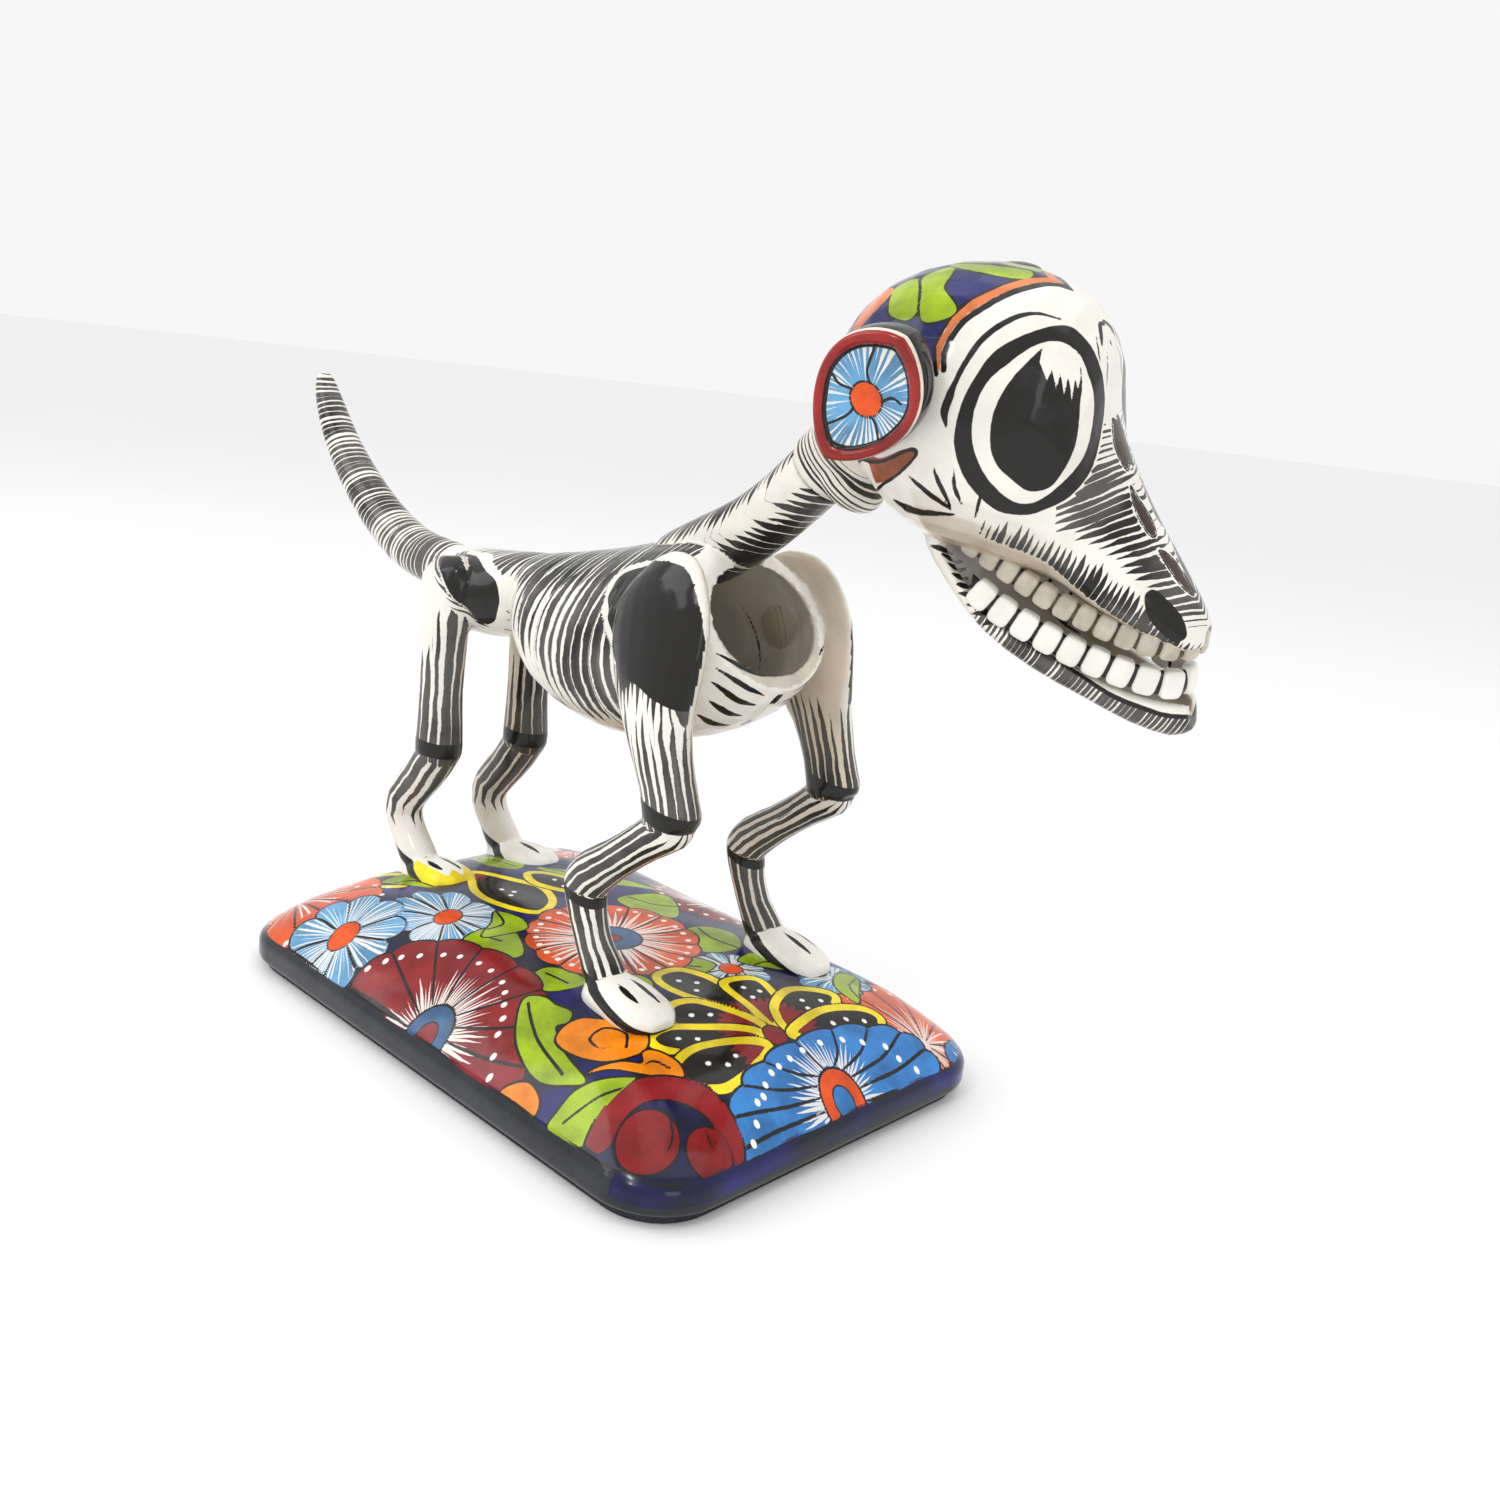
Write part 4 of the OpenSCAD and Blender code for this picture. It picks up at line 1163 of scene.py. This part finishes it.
    # yellow fan
    c = (106, -7)
    for q, dots in (([(52, -18), (52, -8), (60, -3), (72, -2), (99, -6), (86, -13), (72, -20), (60, -22)],
                     [(60, -14), (65, -9), (70, -14)]),
                    ([(72, -1), (72, 8), (76, 14), (84, 13), (92, 9), (103, -4), (88, -4)],
                     [(78, 4), (83, 8), (85, 2)]),
                    ([(95, 4), (88, 16), (88, 26), (97, 37), (104, 26), (106, 2)],
                     [(95, 20), (98, 28), (100, 18)]),
                    ([(108, 0), (103, 23), (107, 42), (114, 47), (119, 38), (116, 22)],
                     [(110, 30), (113, 38), (110, 22)]),
                    ([(74, -32), (74, -24), (80, -18), (103, -8), (96, -24), (84, -37)],
                     [(82, -28), (86, -22), (90, -28)]),
                    ([(84, -50), (83, -41), (88, -32), (105, -11), (101, -38), (92, -50)],
                     [(90, -42), (94, -36), (96, -42)]),
                    ([(100, -52), (98, -37), (108, -14), (114, -25), (117, -44), (108, -54)],
                     [(106, -42), (110, -36), (108, -30)])):
        fan_petal(p, q, c, dots)
    p.lay("wine", disc(p.P, c, 4.6), 0.6)
    # sky-blue flower on the front edge
    flower(p, (134, 4), 24, 58, 17, "sky", (10, "core"), (4.6, "sky"), (66, 9, 21, 1.0), lobes=0.08, turn=0.1,
           dot_list=[(138, -49), (134, -45), (130, -40), (125, -35), (124, -31), (121, -27), (118, -21),
                     (117, -16), (116, -9), (115, -1), (115, 9), (117, 20), (120, 29), (124, 39), (129, 42),
                     (134, 48)])
    # leaves and scrolls of the near corner
    leaf(p, [(30, -66), (35, -61), (43, -61), (51, -60), (54, -64), (52, -68), (60, -72), (68, -75),
             (82, -78), (76, -82), (66, -85), (54, -83), (41, -77)],
             [(33, -66), (42, -71), (54, -76), (72, -80)])
    leaf(p, [(82, -94), (81, -88), (82, -81), (90, -72), (104, -60), (101, -68), (99, -74), (102, -88),
             (97, -93), (91, -94)],
         [(86, -90), (91, -80), (99, -68)])
    scroll(p, [(58, -72), (55, -66), (57, -60), (63, -56), (72, -50), (80, -49), (87, -55), (86, -63),
               (80, -70), (68, -73)],
           [(82, -60), (76, -55), (68, -58), (68, -65), (75, -66), (78, -62)])
    scroll(p, [(80, -76), (86, -70), (94, -65), (101, -60), (107, -55), (100, -51), (91, -53), (88, -57),
               (92, -61), (86, -66)],
           [(100, -55), (94, -57), (93, -61)])
    arch = [(103, -88), (100, -79), (101, -69), (107, -60), (117, -53.5), (127, -52), (134, -56)]
    p.lay("wine", stroke(p.P, arch, 9.5))
    p.lay("wine", disc(p.P, (116.5, -79), 10.5))
    p.lay("wine", disc(p.P, (131.5, -64), 8))
    p.add("line", stroke(p.P, [(106, -72), (113, -68), (121, -72), (124, -78)], 1.1, (0.3, 0.3)))
    p.add("line", stroke(p.P, [(124, -60), (130, -62), (133, -60)], 1.1, (0.3, 0.3)))
    leaf(p, [(54, -93), (57, -89), (63, -87), (71, -89), (73, -93), (65, -96)], None, "amber")
    # the rim below the crown
    z = co[:, 2]
    sd = 16.2 - z + 0.35 * np.sin(co[:, 0] * 0.13) + 0.3 * np.sin(co[:, 1] * 0.17)
    p.cut(sd)
    p.add("coal", np.minimum(sd, np.maximum(116 - co[:, 0], 8 - z)))
    p.add("line", 0.55 - np.abs(sd))
    return p


def cobalt_base(t, pool):
    deep = t.mix(pool, (0.005, 0.006, 0.045), (0.014, 0.014, 0.17))
    return t.mix(t.between(t.noise(24.0, 4.0), 0.42, 0.7), deep, (0.008, 0.008, 0.02))


plinth_mat = painted("plinth_painted", cobalt_base, ["ink"] + PLINTH_LAYERS, rays=True, dots=True)
STEP = 0.65
# How far in from the edge, and how high: up the hollow's roof, down its wall, round the rim, over the crown.
profile = [(i, float(crown_z(i)) - WALL) for i in (88, 60, 35, 20, 14)]
profile += [(9.5, 11.0), (9.5, 4.2), (9.3, 4.0), (5, 4.0), (1.6, 4.0), (0.5, 4.5), (0.05, 5.6), (0.0, 7.0),
            (0.0, 9.0), (0.0, 11.0), (0.1, 12.2), (0.5, 13.5), (1.0, 14.4), (1.6, 15.3)]
rim_rings = len(profile)
profile += [(i, float(crown_z(i))) for i in np.arange(2.3, 94.6, STEP)] + [(94.7, CROWN)]
rings = [plinth_ring(i, z, 860 / STEP) for i, z in profile]
co, faces = strip(rings)
n = len(rings[0])
last = (len(rings) - 1) * n
faces += [(last + i, last + i + 1, last + (n - i - 1) % n, last + (n - i) % n) for i in range(1, n // 2 - 1)]
faces += [(last, last + 1, last + n - 1), (last + n // 2 - 1, last + n // 2, last + n // 2 + 1)]
faces += [(i + 1, i, (n - i) % n, n - i - 1) for i in range(1, n // 2 - 1)]
faces += [(1, 0, n - 1), (n // 2, n // 2 - 1, n // 2 + 1)]
top_side = (co[:, 2] > 15) & (np.arange(len(co)) >= rim_rings * n)
lumps = np.sin(co[:, 0] * 0.11 + 1) * np.sin(co[:, 1] * 0.13) + 0.5 * np.sin(co[:, 0] * 0.05 - co[:, 1]
                                                                             * 0.21)
lumps = 0.3 * lumps - 0.2
co[:, 2] += np.where(top_side, lumps * ramp(co[:, 2], (15, 24), (0, 1)), 0)
plinth = new_object("plinth_glazed", co, faces)
p = paint_plinth(co)
for key, value in p.f.items():
    put(plinth, key, value)
put(plinth, "rays", np.column_stack([p.turns, p.white, np.zeros(len(co))]))
use(plinth, plinth_mat)
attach(plinth, "figure")
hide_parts("base_shell")

carried("foot_ring", plain_glaze("foot_coal", (0.020, 0.022, 0.028), 0.7, 1.4, 90.0, 0.3, 0.3))
carried("neck_spigot", plain_glaze("spigot_clay", (0.52, 0.36, 0.24), 0.85, 1.12, 120.0, 0.6, 0.4))

# ---------------------------------------------------------------- floor, light and camera

floor_mat = Tree("floor_white")
tint = floor_mat.mix(floor_mat.noise(3.0, 2.0), (0.91, 0.91, 0.91), (0.94, 0.94, 0.94))
floor_mat.feed(floor_mat.bsdf.inputs["Base Color"], tint)
floor_mat.bsdf.inputs["Roughness"].default_value = 0.6
bpy.ops.mesh.primitive_plane_add(size=60, location=(0, 0, -0.0002))
floor = bpy.context.active_object
floor.name = "studio_floor"
use(floor, floor_mat.mat)

world = bpy.data.worlds.new("studio")
bpy.context.scene.world = world
world.use_nodes = True
world.node_tree.nodes["Background"].inputs[0].default_value = (1.0, 1.0, 1.0, 1)
world.node_tree.nodes["Background"].inputs[1].default_value = 0.93


def lamp(name, where, target, size, power):
    """A soft rectangular lamp, in metres and watts."""
    data = bpy.data.lights.new(name, "AREA")
    data.shape = "RECTANGLE"
    data.size, data.size_y = size
    data.energy = power
    obj = bpy.data.objects.new(name, data)
    bpy.context.scene.collection.objects.link(obj)
    obj.location = where
    obj.rotation_euler = (Vector(target) - Vector(where)).to_track_quat("-Z", "Y").to_euler()


lamp("window_left", (-0.9, -1.1, 1.3), (0, 0, 0.12), (1.2, 1.0), 9)
lamp("overhead", (0.2, 0.3, 1.7), (0, 0, 0.1), (1.5, 1.5), 5)
lamp("front_fill", (1.5, -0.6, 0.7), (0.05, 0, 0.15), (0.5, 0.8), 2.5)
lamp("glint", (0.15, -0.85, 0.95), (0.05, 0, 0.15), (0.12, 0.09), 1.6)

bpy.context.scene.view_settings.view_transform = "Standard"

cam = bpy.data.cameras.new("camera")
cam.sensor_width = 36
cam.lens = 33.4596
cam.clip_start = 0.01
eye = bpy.data.objects.new("camera", cam)
bpy.context.scene.collection.objects.link(eye)
right = Vector((0.7175, 0.6877, 0.1107))
up = Vector((-0.2522, 0.1083, 0.9616))
back = Vector((0.6493, -0.7179, 0.2511))
placed = Matrix((right, up, back)).transposed().to_4x4()
placed.translation = Vector((0.4101, -0.3753, 0.2694))
eye.matrix_world = placed
bpy.context.scene.camera = eye
